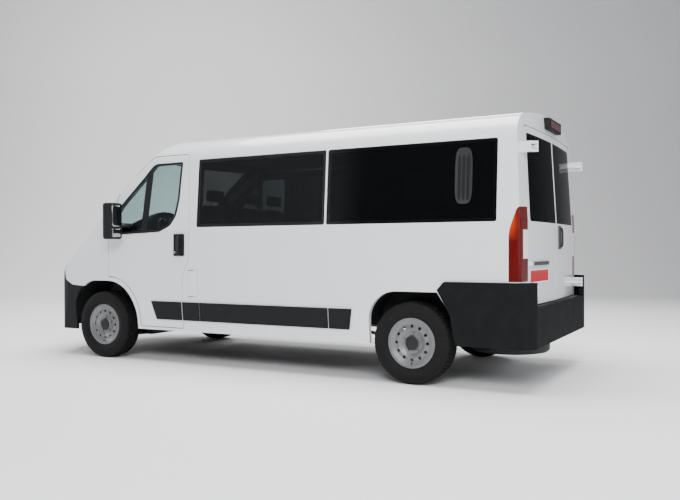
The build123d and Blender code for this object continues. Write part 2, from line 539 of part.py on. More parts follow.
# ------------------------------------------------------------------ rear door hinges, handle and plate lamp
REAR_HINGE = (-2690.0, 845.0)
REAR_HINGE_Z = (790.0, 1905.0)
HINGE_R, PIN_R = 13.0, 5.0
LUG_HALF, HINGE_HALF = 14.0, 42.0


def rear_hinge(z):
    """A strap on the door and a two-lug bracket with a pin on the pillar, about one upright axis."""
    x, y = REAR_HINGE
    strap_plan = outline(((x - 8, y - 6), (x + 125, 735), (x + 125, 790), (x + 8, y + 6)))
    strap = plan_prism(strap_plan, z - LUG_HALF, z + LUG_HALF) + Pos(x, y, z) * Cylinder(HINGE_R, 2 * LUG_HALF)
    strap = strap - outer
    strap = strap - Pos(x, y, z) * Cylinder(PIN_R + SEAT_GAP, 3 * LUG_HALF)
    bracket_plan = outline(((x - 6, y + 6), (x + 6, y - 6), (x + 130, y + 14), (x + 130, y + 42), (x + 40, y + 42)))
    bracket = plan_prism(bracket_plan, z - HINGE_HALF, z + HINGE_HALF) - outer
    bracket = bracket + Pos(x, y, z) * Cylinder(HINGE_R, 2 * HINGE_HALF)
    bracket = bracket - (Pos(x, y, z) * Cylinder(50, 2 * (LUG_HALF + 5)))
    return strap, bracket + Pos(x, y, z) * Cylinder(PIN_R, 2 * HINGE_HALF)


straps, brackets = zip(*[rear_hinge(z) for z in REAR_HINGE_Z])
plate_lamp = proud & end_prism(rectangle((300, 770), (980, 1010)), -2800, -2480)
rear_handle = proud & end_prism(rectangle((80, 140), (1108, 1312)), -2800, -2480)
write("rear_fittings_left", *straps, plate_lamp)
write("rear_fittings_right", *[other_side(strap) for strap in straps], other_side(rear_handle))
write("rear_hinge_brackets", *brackets, *[other_side(bracket) for bracket in brackets])

# ------------------------------------------------------------------ wheels
RIM_HALF = 84.0
HUB_FACE = 45.0
DISC_T = 10.0
HUB_R, SPINDLE_R = 72.0, 30.0
WHEEL_HOLES, WHEEL_HOLE_R, WHEEL_HOLE_PITCH_R = 12, 13.0, 138.0
TYRE_FLATS = 50        # the tread and walls are turned from this many flats
TYRE_STEPS = ((RIM_R + 4, 86), (268, TYRE_W / 2), (TYRE_R - 20, 98), (TYRE_R, 78))
RIM_PROFILE = ((RIM_R, 84), (RIM_R, 80), (194, 79), (194, 60), (172, 44), (170, -40), (194, -62), (194, -79),
               (RIM_R, -80), (RIM_R, -84), (188, -84), (164, -36), (164, 34), (150, 56), (122, 64),
               (86, HUB_FACE), (HUB_R, HUB_FACE), (HUB_R, -8), (140, -8), (140, -28), (SPINDLE_R + SEAT_GAP, -28),
               (SPINDLE_R + SEAT_GAP, 50), (40, 50), (40, 70), (56, 70), (66, HUB_FACE + DISC_T),
               (88, HUB_FACE + DISC_T), (122, 74), (154, 66), (188, 84))


def flat_sided(steps, flats):
    """Solid of flat faces about Y: one ring of flats between each (radius to the flats, y) and the next."""
    half = pi / flats
    rings = [[Vector(r / cos(half) * sin(2 * half * (i + 0.5)), y, r / cos(half) * cos(2 * half * (i + 0.5)))
              for i in range(flats)] for r, y in steps]
    faces = [Face(Wire.make_polygon(ring)) for ring in (rings[0], rings[-1])]
    for low, high in zip(rings, rings[1:]):
        for i in range(flats):
            faces.append(Face(Wire.make_polygon([low[i - 1], low[i], high[i], high[i - 1]])))
    return Solid(Shell(faces))


def wheel(x, y):
    """Steel wheel with its brake disc and hub, and a hollow tyre, turned about the axle at (x, y)."""
    turn = Axis((0, 0, 0), (0, 1, 0))
    upright = Plane((0, 0, 0), x_dir=(0, 0, 1), z_dir=(1, 0, 0))
    # the profile's first coordinate is the radius (Z), the second is outward (Y)
    rim_face = upright * outline(tuple((r, -w) for r, w in RIM_PROFILE))
    rim = revolve(rim_face, turn, 360)
    holes = [Rot(Y=360 * i / WHEEL_HOLES) * Pos(0, 60, WHEEL_HOLE_PITCH_R) * Rot(X=90) * Cylinder(WHEEL_HOLE_R, 60)
             for i in range(WHEEL_HOLES)]
    rim = rim - holes
    steps = [(r, -w) for r, w in TYRE_STEPS] + [(r, w) for r, w in reversed(TYRE_STEPS)]
    tyre = flat_sided(steps, TYRE_FLATS) - tube_y(0, 0, RIM_R + SEAT_GAP, -TYRE_W, TYRE_W)
    place = Pos(x, y, TYRE_R)
    return place * rim, place * tyre


WHEELS = {"front": (FRONT_AXLE_X, FRONT_TRACK_HALF), "rear": (REAR_AXLE_X, REAR_TRACK_HALF)}
for end, (x, y) in WHEELS.items():
    rim, tyre = wheel(x, y)
    write(f"rim_{end}_left", rim)
    write(f"rim_{end}_right", other_side(rim))
    write(f"tyre_{end}_left", tyre)
    write(f"tyre_{end}_right", other_side(tyre))

# ------------------------------------------------------------------ knuckles on inclined steering axes
KINGPIN_TILT = 12.0
BALL = Vector(FRONT_AXLE_X, 815.0, 235.0)
KING = Vector(0, -sin(radians(KINGPIN_TILT)), cos(radians(KINGPIN_TILT)))
BALL_PIN_R = 12.0
SPINDLE_END = HUB_FACE - 5.0


def on_kingpin(z):
    """Point of the steering axis at height z."""
    return BALL + KING * ((z - BALL.Z) / KING.Z)


hub_y = FRONT_TRACK_HALF
knuckle = tube_y(FRONT_AXLE_X, TYRE_R, 52, 765, hub_y - 40)
knuckle = knuckle + tube_y(FRONT_AXLE_X, TYRE_R, SPINDLE_R, hub_y - 60, hub_y + SPINDLE_END)
knuckle = knuckle + rod(BALL - KING * 4.7, BALL + KING * 60, 30)
knuckle = knuckle + rod(on_kingpin(330), on_kingpin(640), 26) + rod(on_kingpin(600), on_kingpin(785), 12)
knuckle = knuckle + rod((FRONT_AXLE_X, 790, TYRE_R), (FRONT_AXLE_X - 130, 770, TYRE_R - 20), 15)
knuckle = knuckle - rod(BALL - KING * 10, BALL + KING * 30, BALL_PIN_R + SEAT_GAP)
write("knuckle_left", knuckle)
write("knuckle_right", other_side(knuckle))

# ------------------------------------------------------------------ floor, rails and arch liners
FLOOR_Z = (495.0, 535.0)
CAB_FLOOR_Z = (640.0, 680.0)
RAIL_Y = (430.0, 510.0)
RAIL_LOW_Z = 430.0
FIREWALL_X = (1800.0, 1840.0)
FLOOR_SIDE = ((-2580, FLOOR_Z[0]), (680, FLOOR_Z[0]), (680, CAB_FLOOR_Z[0]), (1580, CAB_FLOOR_Z[0]), (FIREWALL_X[1], 985),
              (FIREWALL_X[1], 1235), (FIREWALL_X[0], 1235), (FIREWALL_X[0], 1000), (1562, CAB_FLOOR_Z[1]),
              (640, CAB_FLOOR_Z[1]), (640, FLOOR_Z[1]), (-2580, FLOOR_Z[1]))
RAIL_SIDE = ((-2600, RAIL_LOW_Z), (1240, RAIL_LOW_Z), (1400, 480), (2500, 480), (2500, 580), (1350, 580),
             (1200, FLOOR_Z[0]), (-2600, FLOOR_Z[0]))
LINER_T = 15.0
front_arch_grown = side_prism(grown(outline(FRONT_ARCH), LINER_T), SIDE_Y[0] - LINER_T, SIDE_Y[1])
rear_arch_grown = side_prism(grown(outline(REAR_ARCH), LINER_T), ARCH_INNER_Y - LINER_T, SIDE_Y[1])
door_clear = side_prism(grown(door_face, SHUT_GAP), 925, SIDE_Y[1])
inner_half = wall_inner & block((-2700, 2700), (0, 1200), (FORM_BASE_Z, HEIGHT))
front_liner = (front_arch_grown - side_prism(outline(FRONT_ARCH), 0, SIDE_Y[1])) & inner_half
front_liner = front_liner & block((1200, 2300), (SIDE_Y[0], 1200), (400, 900))
front_liner = front_liner - door_clear - sheet
rear_liner = (rear_arch_grown - rear_arch) & inner_half & block((-2300, -1200), (0, 1200), (FLOOR_Z[0], 900))
write("arch_liners", front_liner, rear_liner, other_side(front_liner), other_side(rear_liner))

floor = side_prism(outline(FLOOR_SIDE), 0, 1200) & inner_half
floor = floor - front_arch_grown - rear_arch_grown - door_clear
floor = floor - block((1560, 1770), (925, 1200), (CAB_FLOOR_Z[0], 1235))
floor = floor + side_prism(outline(RAIL_SIDE), *RAIL_Y)
floor = floor + block((-2661, -2580), (0, 885), (480, 655))
floor = floor + (block((2440, 2800), (0, 700), (480, 600)) & sheet_inner)
SPRING_Y = 610.0
SPRING_EYES = (-1000.0, -2390.0)
SPRING_EYE_Z = 400.0
for eye in SPRING_EYES:
    floor = floor + block((eye - 40, eye + 40), (RAIL_Y[1] - 5, SPRING_Y + 45), (SPRING_EYE_Z + 26, FLOOR_Z[0]))
floor = floor + other_side(floor)
floor = floor + rod((TOW_SOCKET[0] - 25, tow_y, tow_z), (TOW_SOCKET[1], tow_y, tow_z), TOW_BOSS_R)
floor = floor - rod((TOW_SOCKET[0], tow_y, tow_z), (TOW_SOCKET[1] + 5, tow_y, tow_z), TOW_THREAD_R)
SPARE = (-2270.0, 130.0, 320.0)
SPARE_SEAT_Z = SPARE[2] + 70.0
floor = floor + Pos(SPARE[0], SPARE[1], (SPARE_SEAT_Z + FLOOR_Z[0]) / 2) * Cylinder(50, FLOOR_Z[0] - SPARE_SEAT_Z)
write("floor_pan", floor)

# ------------------------------------------------------------------ front subframe with its lower arms
arm_plan = outline(((1565, 395), (1728, 790), (1728, 815), (1789, 815), (1789, 790), (1890, 395)))
arm = plan_prism(arm_plan, 200, 219) + rod(BALL - KING * 32, BALL - KING * 5, 28)
arm = arm + rod(BALL - KING * 32, BALL + KING * 29, BALL_PIN_R)
subframe = block((1540, 1900), (0, 420), (200, 270)) + block((1540, 1640), (380, RAIL_Y[1]), (200, 480)) + arm
subframe = subframe + other_side(subframe)
write("front_subframe", subframe)

# ------------------------------------------------------------------ rear axle on leaf springs
BEAM_Z = 245.0
axle = tube_y(REAR_AXLE_X, BEAM_Z, 38, -700, 700)
spring_face = make_face(ThreePointArc((SPRING_EYES[0], SPRING_EYE_Z), (REAR_AXLE_X, BEAM_Z + 52), (SPRING_EYES[1], SPRING_EYE_Z)).edges()
                        + Line((SPRING_EYES[1], SPRING_EYE_Z), (SPRING_EYES[1], SPRING_EYE_Z + 14)).edges()
                        + ThreePointArc((SPRING_EYES[1], SPRING_EYE_Z + 14), (REAR_AXLE_X, BEAM_Z + 72), (SPRING_EYES[0], SPRING_EYE_Z + 14)).edges()
                        + Line((SPRING_EYES[0], SPRING_EYE_Z + 14), (SPRING_EYES[0], SPRING_EYE_Z)).edges())
spring = side_prism(spring_face, SPRING_Y - 35, SPRING_Y + 35)
for eye in SPRING_EYES:
    spring = spring + tube_y(eye, SPRING_EYE_Z, 26, SPRING_Y - 35, SPRING_Y + 35)
half_axle = spring + block((REAR_AXLE_X - 60, REAR_AXLE_X + 60), (SPRING_Y - 45, SPRING_Y + 45), (BEAM_Z + 30, BEAM_Z + 60))
half_axle = half_axle + block((REAR_AXLE_X - 50, REAR_AXLE_X + 50), (680, 740), (BEAM_Z - 45, TYRE_R + 50))
half_axle = half_axle + tube_y(REAR_AXLE_X, TYRE_R, 50, 730, REAR_TRACK_HALF - 40)
half_axle = half_axle + tube_y(REAR_AXLE_X, TYRE_R, SPINDLE_R, 780, REAR_TRACK_HALF + SPINDLE_END)
write("rear_axle", axle + half_axle + other_side(half_axle))

# ------------------------------------------------------------------ engine, tank, exhaust and spare wheel
ENGINE_X, ENGINE_Z = (1900.0, 2400.0), (330.0, 880.0)
RADIATOR_X, RADIATOR_Z = (2405.0, 2435.0), (500.0, 890.0)
write("engine_block", block(ENGINE_X, (-RAIL_Y[0], RAIL_Y[0]), ENGINE_Z),
      block(RADIATOR_X, (-RAIL_Y[0], RAIL_Y[0]), RADIATOR_Z))
write("fuel_tank", fillet(block((-400, 450), (-40, RAIL_Y[0]), (240, FLOOR_Z[0])).edges().filter_by(Axis.X), 40))
exhaust = rod((1900, -300, 400), (-2560, -300, 400), 27) + rod((-650, -300, 400), (-1200, -300, 400), 88)
exhaust = exhaust + block((-1000, -960), (-320, -280), (400, FLOOR_Z[0])) + block((-2300, -2270), (-315, -285), (400, FLOOR_Z[0]))
write("exhaust", exhaust)
spare_turn = Pos(*SPARE) * Rot(X=90)
rim, tyre = wheel(0, 0)
spare_rim = spare_turn * Pos(0, 0, -TYRE_R) * rim
spare_tyre = spare_turn * Pos(0, 0, -TYRE_R) * tyre
write("spare_wheel", spare_rim, spare_tyre)

# ------------------------------------------------------------------ cabin: seats, dashboard, steering wheel
SEAT_T = 110.0


def seat(x, y, floor_z, width):
    """Pedestal, cushion, leaning backrest and headrest as one solid; x is the cushion's front edge."""
    low = floor_z + 210
    half = width / 2
    cushion = outline(((x - 500, low), (x - 500, low + 125), (x, low + 125, 40), (x, low, 40)))
    back = outline(((x - 500, low + 60, 30), (x - 390, low + 60, 30), (x - 490, low + 690, 40), (x - 610, low + 690, 40)))
    rest = outline(((x - 510, low + 680), (x - 525, low + 850, 30), (x - 610, low + 850, 30), (x - 600, low + 680)))
    base = block((x - 430, x - 70), (y - half + 60, y + half - 60), (floor_z, low + 10))
    body = side_prism(cushion, y - half, y + half) + side_prism(back, y - half, y + half)
    return body + side_prism(rest, y - 120, y + 120) + base


DRIVER_Y = 440.0
write("seats_front", seat(1300, DRIVER_Y, CAB_FLOOR_Z[1], 500), seat(1300, -210, CAB_FLOOR_Z[1], 430),
      seat(1300, -650, CAB_FLOOR_Z[1], 430))
ROW_X = (150.0, -800.0)
ROW_Y = (600.0, 110.0, -600.0)
write("seats_rear", *[seat(x, y, FLOOR_Z[1], 460) for x in ROW_X for y in ROW_Y])
dash_face = outline(((FIREWALL_X[0], 1012), (1420, 1012, 60), (1360, 1180, 80), (1470, 1330, 60), (FIREWALL_X[0], 1300)))
dash = side_prism(dash_face, -890, 890)
write("dashboard", dash)
WHEEL_TILT = 32.0
wheel_centre = Vector(1262, DRIVER_Y, 1262)
tilted = Plane(origin=wheel_centre, z_dir=(-sin(radians(WHEEL_TILT)), 0, cos(radians(WHEEL_TILT))))
steering = tilted * (Torus(185, 15) + Pos(0, 0, -12) * Cylinder(55, 40))
for angle in (0, 120, 240):
    steering = steering + tilted * Rot(Z=angle + 90) * Pos(92, 0, -5) * Box(185, 34, 14)
steering = steering + tilted * Pos(0, 0, -110) * Cylinder(28, 200)
write("steering_wheel", steering - dash)
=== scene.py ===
"""Finishes and fittings of a low-roof minibus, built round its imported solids, with its studio."""
from math import cos, pi, radians, sin

import bpy
import numpy as np
from mathutils import Matrix, Vector


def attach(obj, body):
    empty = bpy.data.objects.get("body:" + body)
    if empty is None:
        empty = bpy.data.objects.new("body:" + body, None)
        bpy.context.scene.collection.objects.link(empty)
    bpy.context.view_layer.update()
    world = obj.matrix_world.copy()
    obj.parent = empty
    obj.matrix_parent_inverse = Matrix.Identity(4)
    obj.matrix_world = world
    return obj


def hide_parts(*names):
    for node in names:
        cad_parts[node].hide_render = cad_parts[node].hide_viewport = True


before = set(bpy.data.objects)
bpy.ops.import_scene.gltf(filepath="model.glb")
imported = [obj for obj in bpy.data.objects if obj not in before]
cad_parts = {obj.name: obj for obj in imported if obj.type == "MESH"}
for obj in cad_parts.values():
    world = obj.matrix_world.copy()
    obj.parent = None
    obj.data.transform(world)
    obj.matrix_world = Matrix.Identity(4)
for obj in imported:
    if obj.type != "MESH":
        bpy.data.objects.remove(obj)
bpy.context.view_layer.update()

# ------------------------------------------------------------------ sizes that several parts need, in metres
SIDES = (("left", 1.0), ("right", -1.0))
DUST_Z = (0.30, 0.75)   # road dust thins out over these heights
MAT_FROM_Z = 0.50   # floor faces above this that look up carry the rubber mat
MAT_RIB, LENS_RIB, REFLECTOR_FLUTE = 0.018, 0.009, 0.012   # one rib and one gap
THREAD, DIAL_MARK = 0.0022, 0.006
PAINTED_REFLECTION_X = (-1.25, -0.90)   # the side glass turns from its dark tint to a lighter painted reflection of the studio here
SPARE_AXIS, RIM_EDGE_R = (-2.270, 0.130), 0.2085   # x and y of the spare wheel's upright axis
STRAP_FROM_Y = 0.72   # rear fittings further out than this are hinge straps
PLATE, PLATE_RIM = (0.535, 0.895, 0.250, 0.058), 0.012   # y and z of its middle, half width, half height
LAMP_TURN_Y = (0.918, 0.926)   # the tail lamp turns from the back to the side here
CLEAR_LOW_Z, CLEAR_HIGH_Z = (1.034, 1.042), (1.258, 1.266)   # both edges of its clear window
PAINTED_HIGHLIGHT_Z, PAINTED_HIGHLIGHT_X = (1.17, 1.30), (-2.59, -2.52)   # its orange painted highlight comes in over these
RAY_FROM = 6.0   # rays that look for a solid's face start this far from the middle
LOOP_SPACING = 0.012   # between the points of an outline


# ------------------------------------------------------------------ shader maths
class Sock:
    """One output of a shader node. Arithmetic on it adds Math nodes to its material."""

    def __init__(self, maker, out):
        self.maker, self.out = maker, out

    def _do(self, operation, *values, clamp=False):
        settings = {"operation": operation, "use_clamp": clamp}
        return self.maker.node("ShaderNodeMath", settings, dict(enumerate(values)))

    def __add__(self, other): return self._do("ADD", self, other)
    def __radd__(self, other): return self._do("ADD", other, self)
    def __sub__(self, other): return self._do("SUBTRACT", self, other)
    def __rsub__(self, other): return self._do("SUBTRACT", other, self)
    def __mul__(self, other): return self._do("MULTIPLY", self, other)
    def __rmul__(self, other): return self._do("MULTIPLY", other, self)
    def __pow__(self, other): return self._do("POWER", self, other)
    def __neg__(self): return self._do("MULTIPLY", self, -1.0)
    def __abs__(self): return self._do("ABSOLUTE", self)

    def over(self, edge): return self._do("GREATER_THAN", self, edge)
    def larger(self, other): return self._do("MAXIMUM", self, other)
    def clamped(self): return self._do("ADD", self, 0.0, clamp=True)
    def root(self): return self._do("SQRT", self)

    def sine(self, length):
        """A wave between -1 and 1 that repeats every length."""
        return self._do("SINE", self * (2.0 * pi / length))

    def ribs(self, length):
        """A wave between 0 and 1 that repeats every length."""
        return self.sine(length) * 0.5 + 0.5

    def ramp(self, start, end):
        """0 below start, 1 above end, straight between them."""
        return ((self - start) * (1.0 / (end - start))).clamped()


def full(colour):
    """A plain colour with its fourth number; one that varies is a Sock and stays as it is."""
    return colour if isinstance(colour, Sock) else (*colour, 1.0)


class Maker:
    """One material and its nodes, with its place and the way it faces in Object coordinates."""

    def __init__(self, name):
        self.material = bpy.data.materials.new(name)
        self.material.use_nodes = True
        self.tree = self.material.node_tree
        self.tree.nodes.clear()
        self.place = self.node("ShaderNodeTexCoord", out="Object")
        self.x, self.y, self.z = self.split(self.place)
        self.nx, self.ny, self.nz = self.split(self.node("ShaderNodeTexCoord", out="Normal"))

    def node(self, kind, settings=(), inputs=(), out=0):
        """Any node: its type, its settings, and the values or links of its sockets."""
        made = self.tree.nodes.new(kind)
        for key, value in dict(settings).items():
            setattr(made, key, value)
        for key, value in dict(inputs).items():
            if isinstance(value, Sock):
                self.tree.links.new(value.out, made.inputs[key])
            else:
                made.inputs[key].default_value = value
        return Sock(self, made.outputs[out])

    def split(self, vector):
        """The three numbers of a vector."""
        first = self.node("ShaderNodeSeparateXYZ", (), {0: vector})
        return [Sock(self, out) for out in first.out.node.outputs]

    def noise(self, scale, detail):
        """Cloudy variation about 0.5, with scale features to the metre."""
        return self.node("ShaderNodeTexNoise", (), {"Vector": self.place, "Scale": scale, "Detail": detail})

    def cells(self, scale):
        """Distance from the middle of the nearest of scale cells to the metre."""
        return self.node("ShaderNodeTexVoronoi", (), {"Vector": self.place, "Scale": scale}, "Distance")

    def glancing(self):
        """0 where the surface is looked at straight, rising to 1 where it is looked along."""
        return self.node("ShaderNodeLayerWeight", (), {"Blend": 0.35}, "Facing")

    def mix(self, share, low, high):
        """Colour low where share is 0, high where it is 1."""
        return self.node("ShaderNodeMix", {"data_type": "RGBA"}, {0: share, 6: full(low), 7: full(high)}, 2)

    def bump(self, height, distance):
        return self.node("ShaderNodeBump", (), {"Height": height, "Distance": distance, "Strength": 1.0})

    def finish(self, **sockets):
        """Principled surface: names with _ for spaces; what varies is a Sock, the rest are plain values."""
        named = {key.replace("_", " "): value for key, value in sockets.items()}
        named["Base Color"] = full(named["Base Color"])
        surface = self.node("ShaderNodeBsdfPrincipled", (), named)
        end = self.tree.nodes.new("ShaderNodeOutputMaterial")
        self.tree.links.new(surface.out, end.inputs["Surface"])
        return self.material


# ------------------------------------------------------------------ finishes
PAINT, PAINT_SHADE = (0.79, 0.80, 0.82), (0.72, 0.735, 0.76)
CABIN_TRIM, HEADLINING = (0.115, 0.118, 0.125), (0.46, 0.46, 0.45)
ROAD_DUST, RUST = (0.42, 0.40, 0.37), (0.14, 0.055, 0.022)
# The second colour is a painted reflection of the studio, laid on the side glass ahead of the third row.
DARK_TINT, PAINTED_REFLECTION_GREY = (0.0020, 0.0024, 0.0028), (0.0105, 0.0110, 0.0120)


def paint(name, inward=None, inner_colour=CABIN_TRIM):
    """White clear-coated paint; faces that look into the cabin, where inward is 1, are moulded trim."""
    m = Maker(name)
    peel = m.noise(420.0, 1.0)
    cloud = m.noise(1.3, 2.0)
    dust = (1.0 - m.z.ramp(*DUST_Z)) * m.noise(7.0, 4.0).ramp(0.42, 0.75) * 0.10
    colour = m.mix(cloud * 0.10, PAINT, PAINT_SHADE)
    colour = m.mix(dust, colour, ROAD_DUST)
    rough = 0.26 + m.noise(30.0, 2.0) * 0.06 + dust
    coat, height, distance = 1.0, peel, 0.00006
    if inward:
        inner = inward(m)
        colour = m.mix(inner, colour, inner_colour)
        rough = rough + inner * 0.40
        coat = 1.0 - inner
        height, distance = peel * coat * 0.2 + m.cells(520.0) * inner, 0.0003
    return m.finish(Base_Color=colour, Roughness=rough, Coat_Weight=coat, Coat_Roughness=0.04,
                    Specular_IOR_Level=0.5, Normal=m.bump(height, distance))


def side_inward(m):
    """1 where a side panel faces the vehicle's middle."""
    return (m.ny * m.y * -1.0).ramp(0.25, 0.5)


def roof_inward(m):
    """1 where the roof faces down."""
    return (-m.nz).ramp(0.30, 0.6)


def front_inward(m):
    """1 where the cab frame faces the middle, back or down."""
    across = (m.ny * m.y * -1.0).ramp(0.25, 0.45)
    back = (-m.nx).ramp(0.45, 0.7)
    return across.larger(back).larger((-m.nz).ramp(0.5, 0.8))


def rear_inward(m):
    """1 where a rear door faces forward."""
    return m.nx.ramp(0.6, 0.8)


def plastic(name, colour=(0.0085, 0.0090, 0.0100), grain=620.0, rough=0.60, gloss=0.18):
    """Moulded plastic with a pebbled grain, a little paler where it is rubbed."""
    m = Maker(name)
    pebble = m.cells(grain)
    worn = m.noise(9.0, 4.0).ramp(0.45, 0.75)
    shade = m.mix(worn * 0.35, colour, tuple(value * 1.5 + 0.003 for value in colour))
    return m.finish(Base_Color=shade, Roughness=rough + worn * 0.10 + pebble * 0.12,
                    Specular_IOR_Level=gloss, Normal=m.bump(pebble, 0.00035))


def dark_glass(name, gloss):
    """Privacy glass, nearly black and clearer where it is looked at straight; ahead of the third row it is
    lighter and a little clearer, a painted reflection of the studio.
    """
    m = Maker(name)
    # a lighter colour and a lower alpha ahead of the third row: a painted reflection of the studio
    ahead = m.x.ramp(*PAINTED_REFLECTION_X)
    return m.finish(Base_Color=m.mix(ahead, DARK_TINT, PAINTED_REFLECTION_GREY), Roughness=0.03, IOR=1.25,
                    Alpha=0.91 - ahead * 0.10 + m.glancing() * 0.09, Specular_IOR_Level=gloss)


def cab_glass(name, tint):
    """Lightly green window glass: what is seen through it is dimmed by its tint."""
    m = Maker(name)
    smear = m.noise(6.0, 3.0).ramp(0.45, 0.80)
    return m.finish(Base_Color=tint, Roughness=0.01 + smear * 0.02, IOR=1.45, Transmission_Weight=1.0)


def steel_paint(name, colour, rough, metal, rust=0.0):
    """Steel, bare or painted: fine flakes, darker smears, and as much rust in patches as rust says."""
    m = Maker(name)
    flake = m.noise(900.0, 1.0)
    smear = m.noise(11.0, 5.0).ramp(0.50, 0.78)
    shade = m.mix(smear * 0.35, colour, tuple(value * 0.62 for value in colour))
    if rust:
        shade = m.mix(m.noise(23.0, 6.0).ramp(0.60, 0.72) * rust, shade, RUST)
    return m.finish(Base_Color=shade, Metallic=metal, Roughness=rough + smear * 0.16 + flake * 0.05,
                    Normal=m.bump(flake, 0.00005))


def underbody():
    """Black-coated floor below, ribbed rubber mat above."""
    m = Maker("floor_and_mat")
    top = m.nz.ramp(0.6, 0.8) * m.z.over(MAT_FROM_Z)
    ribs = m.y.ribs(MAT_RIB) * top
    patch = m.noise(14.0, 5.0).ramp(0.45, 0.75)
    coating = m.mix(patch, (0.022, 0.022, 0.024), (0.060, 0.055, 0.050))
    return m.finish(Base_Color=m.mix(top, coating, (0.050, 0.052, 0.055)), Roughness=0.62 + patch * 0.2,
                    Normal=m.bump(ribs + m.noise(180.0, 3.0) * 0.3, 0.0012))


def cast_iron():
    """Sand-cast iron, rough and mottled."""
    m = Maker("cast_iron")
    sand = m.noise(260.0, 4.0)
    return m.finish(Base_Color=m.mix(sand, (0.055, 0.055, 0.058), (0.16, 0.155, 0.15)), Metallic=0.6,
                    Roughness=0.5 + sand * 0.3, Normal=m.bump(sand, 0.0012))


def rubber():
    """Tyre rubber: dull black, finely grained, with a little road dust."""
    m = Maker("tyre_rubber")
    dust = m.noise(26.0, 5.0).ramp(0.48, 0.80)
    grain = m.noise(700.0, 2.0)
    colour = m.mix(dust * 0.30, (0.0065, 0.0065, 0.0070), (0.030, 0.028, 0.026))
    return m.finish(Base_Color=colour, Roughness=0.70 + dust * 0.16, Specular_IOR_Level=0.16,
                    Normal=m.bump(grain, 0.00025))


def spare_finish():
    """Steel inside the rim's radius and rubber outside it, about an upright axis."""
    m = Maker("spare_wheel_finish")
    radius = ((m.x - SPARE_AXIS[0]) ** 2.0 + (m.y - SPARE_AXIS[1]) ** 2.0).root()
    outside = radius.over(RIM_EDGE_R)
    smear = m.noise(13.0, 5.0).ramp(0.45, 0.75)
    steel = m.mix(smear, (0.30, 0.30, 0.31), (0.12, 0.11, 0.10))
    return m.finish(Base_Color=m.mix(outside, steel, (0.018, 0.018, 0.018)), Metallic=(1.0 - outside) * 0.6,
                    Roughness=0.45 + outside * 0.25, Normal=m.bump(m.noise(500.0, 2.0), 0.0002))


def tail_lens():
    """Tail lamp lens: red, with an orange painted highlight at the upper front of its side and a clear window
    towards the door.
    """
    m = Maker("tail_lens")
    side = abs(m.y).ramp(*LAMP_TURN_Y)
    clear = m.z.ramp(*CLEAR_LOW_Z) * (1.0 - m.z.ramp(*CLEAR_HIGH_Z)) * (1.0 - side)
    # an orange painted highlight on the upper front of the side face of the red lens
    painted_highlight = m.z.ramp(*PAINTED_HIGHLIGHT_Z) * side * m.x.ramp(*PAINTED_HIGHLIGHT_X)
    ribs = m.z.ribs(LENS_RIB)
    colour = m.mix(painted_highlight, (0.10, 0.0003, 0.0006), (0.66, 0.060, 0.010))
    colour = m.mix(clear, colour, (0.84, 0.80, 0.77))
    colour = m.mix(ribs * 0.25 * (1.0 - clear), colour, (0.06, 0.001, 0.001))
    return m.finish(Base_Color=colour, Roughness=0.20 + ribs * 0.08, Specular_IOR_Level=0.16,
                    Coat_Weight=0.10, Coat_Roughness=0.03, Normal=m.bump(ribs, 0.0005))


def lamp_cover():
    """Clear polycarbonate lamp cover."""
    m = Maker("lamp_cover")
    return m.finish(Base_Color=(0.62, 0.65, 0.68), Roughness=0.03, Alpha=0.16 + m.glancing() * 0.6)


def cloth():
    """Flat-woven seat cloth: threads that cross over and under, in two greys, with faint flecks."""
    m = Maker("seat_cloth")
    weave = abs((m.x + m.z).sine(THREAD) * m.y.sine(THREAD))
    fleck = m.cells(260.0).ramp(0.10, 0.32)
    worn = m.noise(8.0, 4.0).ramp(0.45, 0.75)
    colour = m.mix(weave, (0.030, 0.033, 0.040), (0.085, 0.090, 0.102))
    colour = m.mix((1.0 - fleck) * 0.5, colour, (0.16, 0.17, 0.19))
    colour = m.mix(worn * 0.25, colour, (0.12, 0.12, 0.125))
    return m.finish(Base_Color=colour, Roughness=0.82 + weave * 0.10, Sheen_Weight=0.35, Sheen_Roughness=0.4,
                    Specular_IOR_Level=0.25, Normal=m.bump(weave, 0.0006))


def mirror_silver():
    """Silvered glass with a trace of dust."""
    m = Maker("mirror_silver")
    dust = m.noise(40.0, 4.0).ramp(0.55, 0.85)
    return m.finish(Base_Color=m.mix(dust * 0.2, (0.46, 0.475, 0.48), (0.40, 0.41, 0.41)), Metallic=1.0,
                    Roughness=0.02 + dust * 0.06)


def plate_finish():
    """Blank plate: a deep red reflective field inside a pale rim, with a fine bead in its surface."""
    m = Maker("blank_plate")
    y, z, half_y, half_z = PLATE
    rim = abs(m.y - y).over(half_y - PLATE_RIM).larger(abs(m.z - z).over(half_z - PLATE_RIM))
    bead = m.cells(900.0)
    field = m.mix(bead * 0.5, (0.40, 0.006, 0.014), (0.52, 0.02, 0.035))
    return m.finish(Base_Color=m.mix(rim, field, (0.80, 0.70, 0.70)), Roughness=0.34 + bead * 0.15,
                    Specular_IOR_Level=0.2, Normal=m.bump(bead, 0.00015))


def fittings_finish():
    """Hinge straps near the corner posts in body paint, the handle and the plate lamp in grained black."""
    m = Maker("rear_fittings_finish")
    painted = abs(m.y).over(STRAP_FROM_Y)
    pebble = m.cells(620.0) * (1.0 - painted)
    return m.finish(Base_Color=m.mix(painted, (0.030, 0.032, 0.036), PAINT),
                    Roughness=0.50 - painted * 0.22 + pebble * 0.1,
                    Coat_Weight=painted, Coat_Roughness=0.04, Normal=m.bump(pebble, 0.0003))


def tinted_lens(name, colour, deep):
    """Moulded lamp plastic with fine upright flutes."""
    m = Maker(name)
    flutes = m.y.ribs(LENS_RIB)
    return m.finish(Base_Color=m.mix(flutes, colour, deep), Roughness=0.14 + flutes * 0.05,
                    Specular_IOR_Level=0.2, Normal=m.bump(flutes, 0.0006))


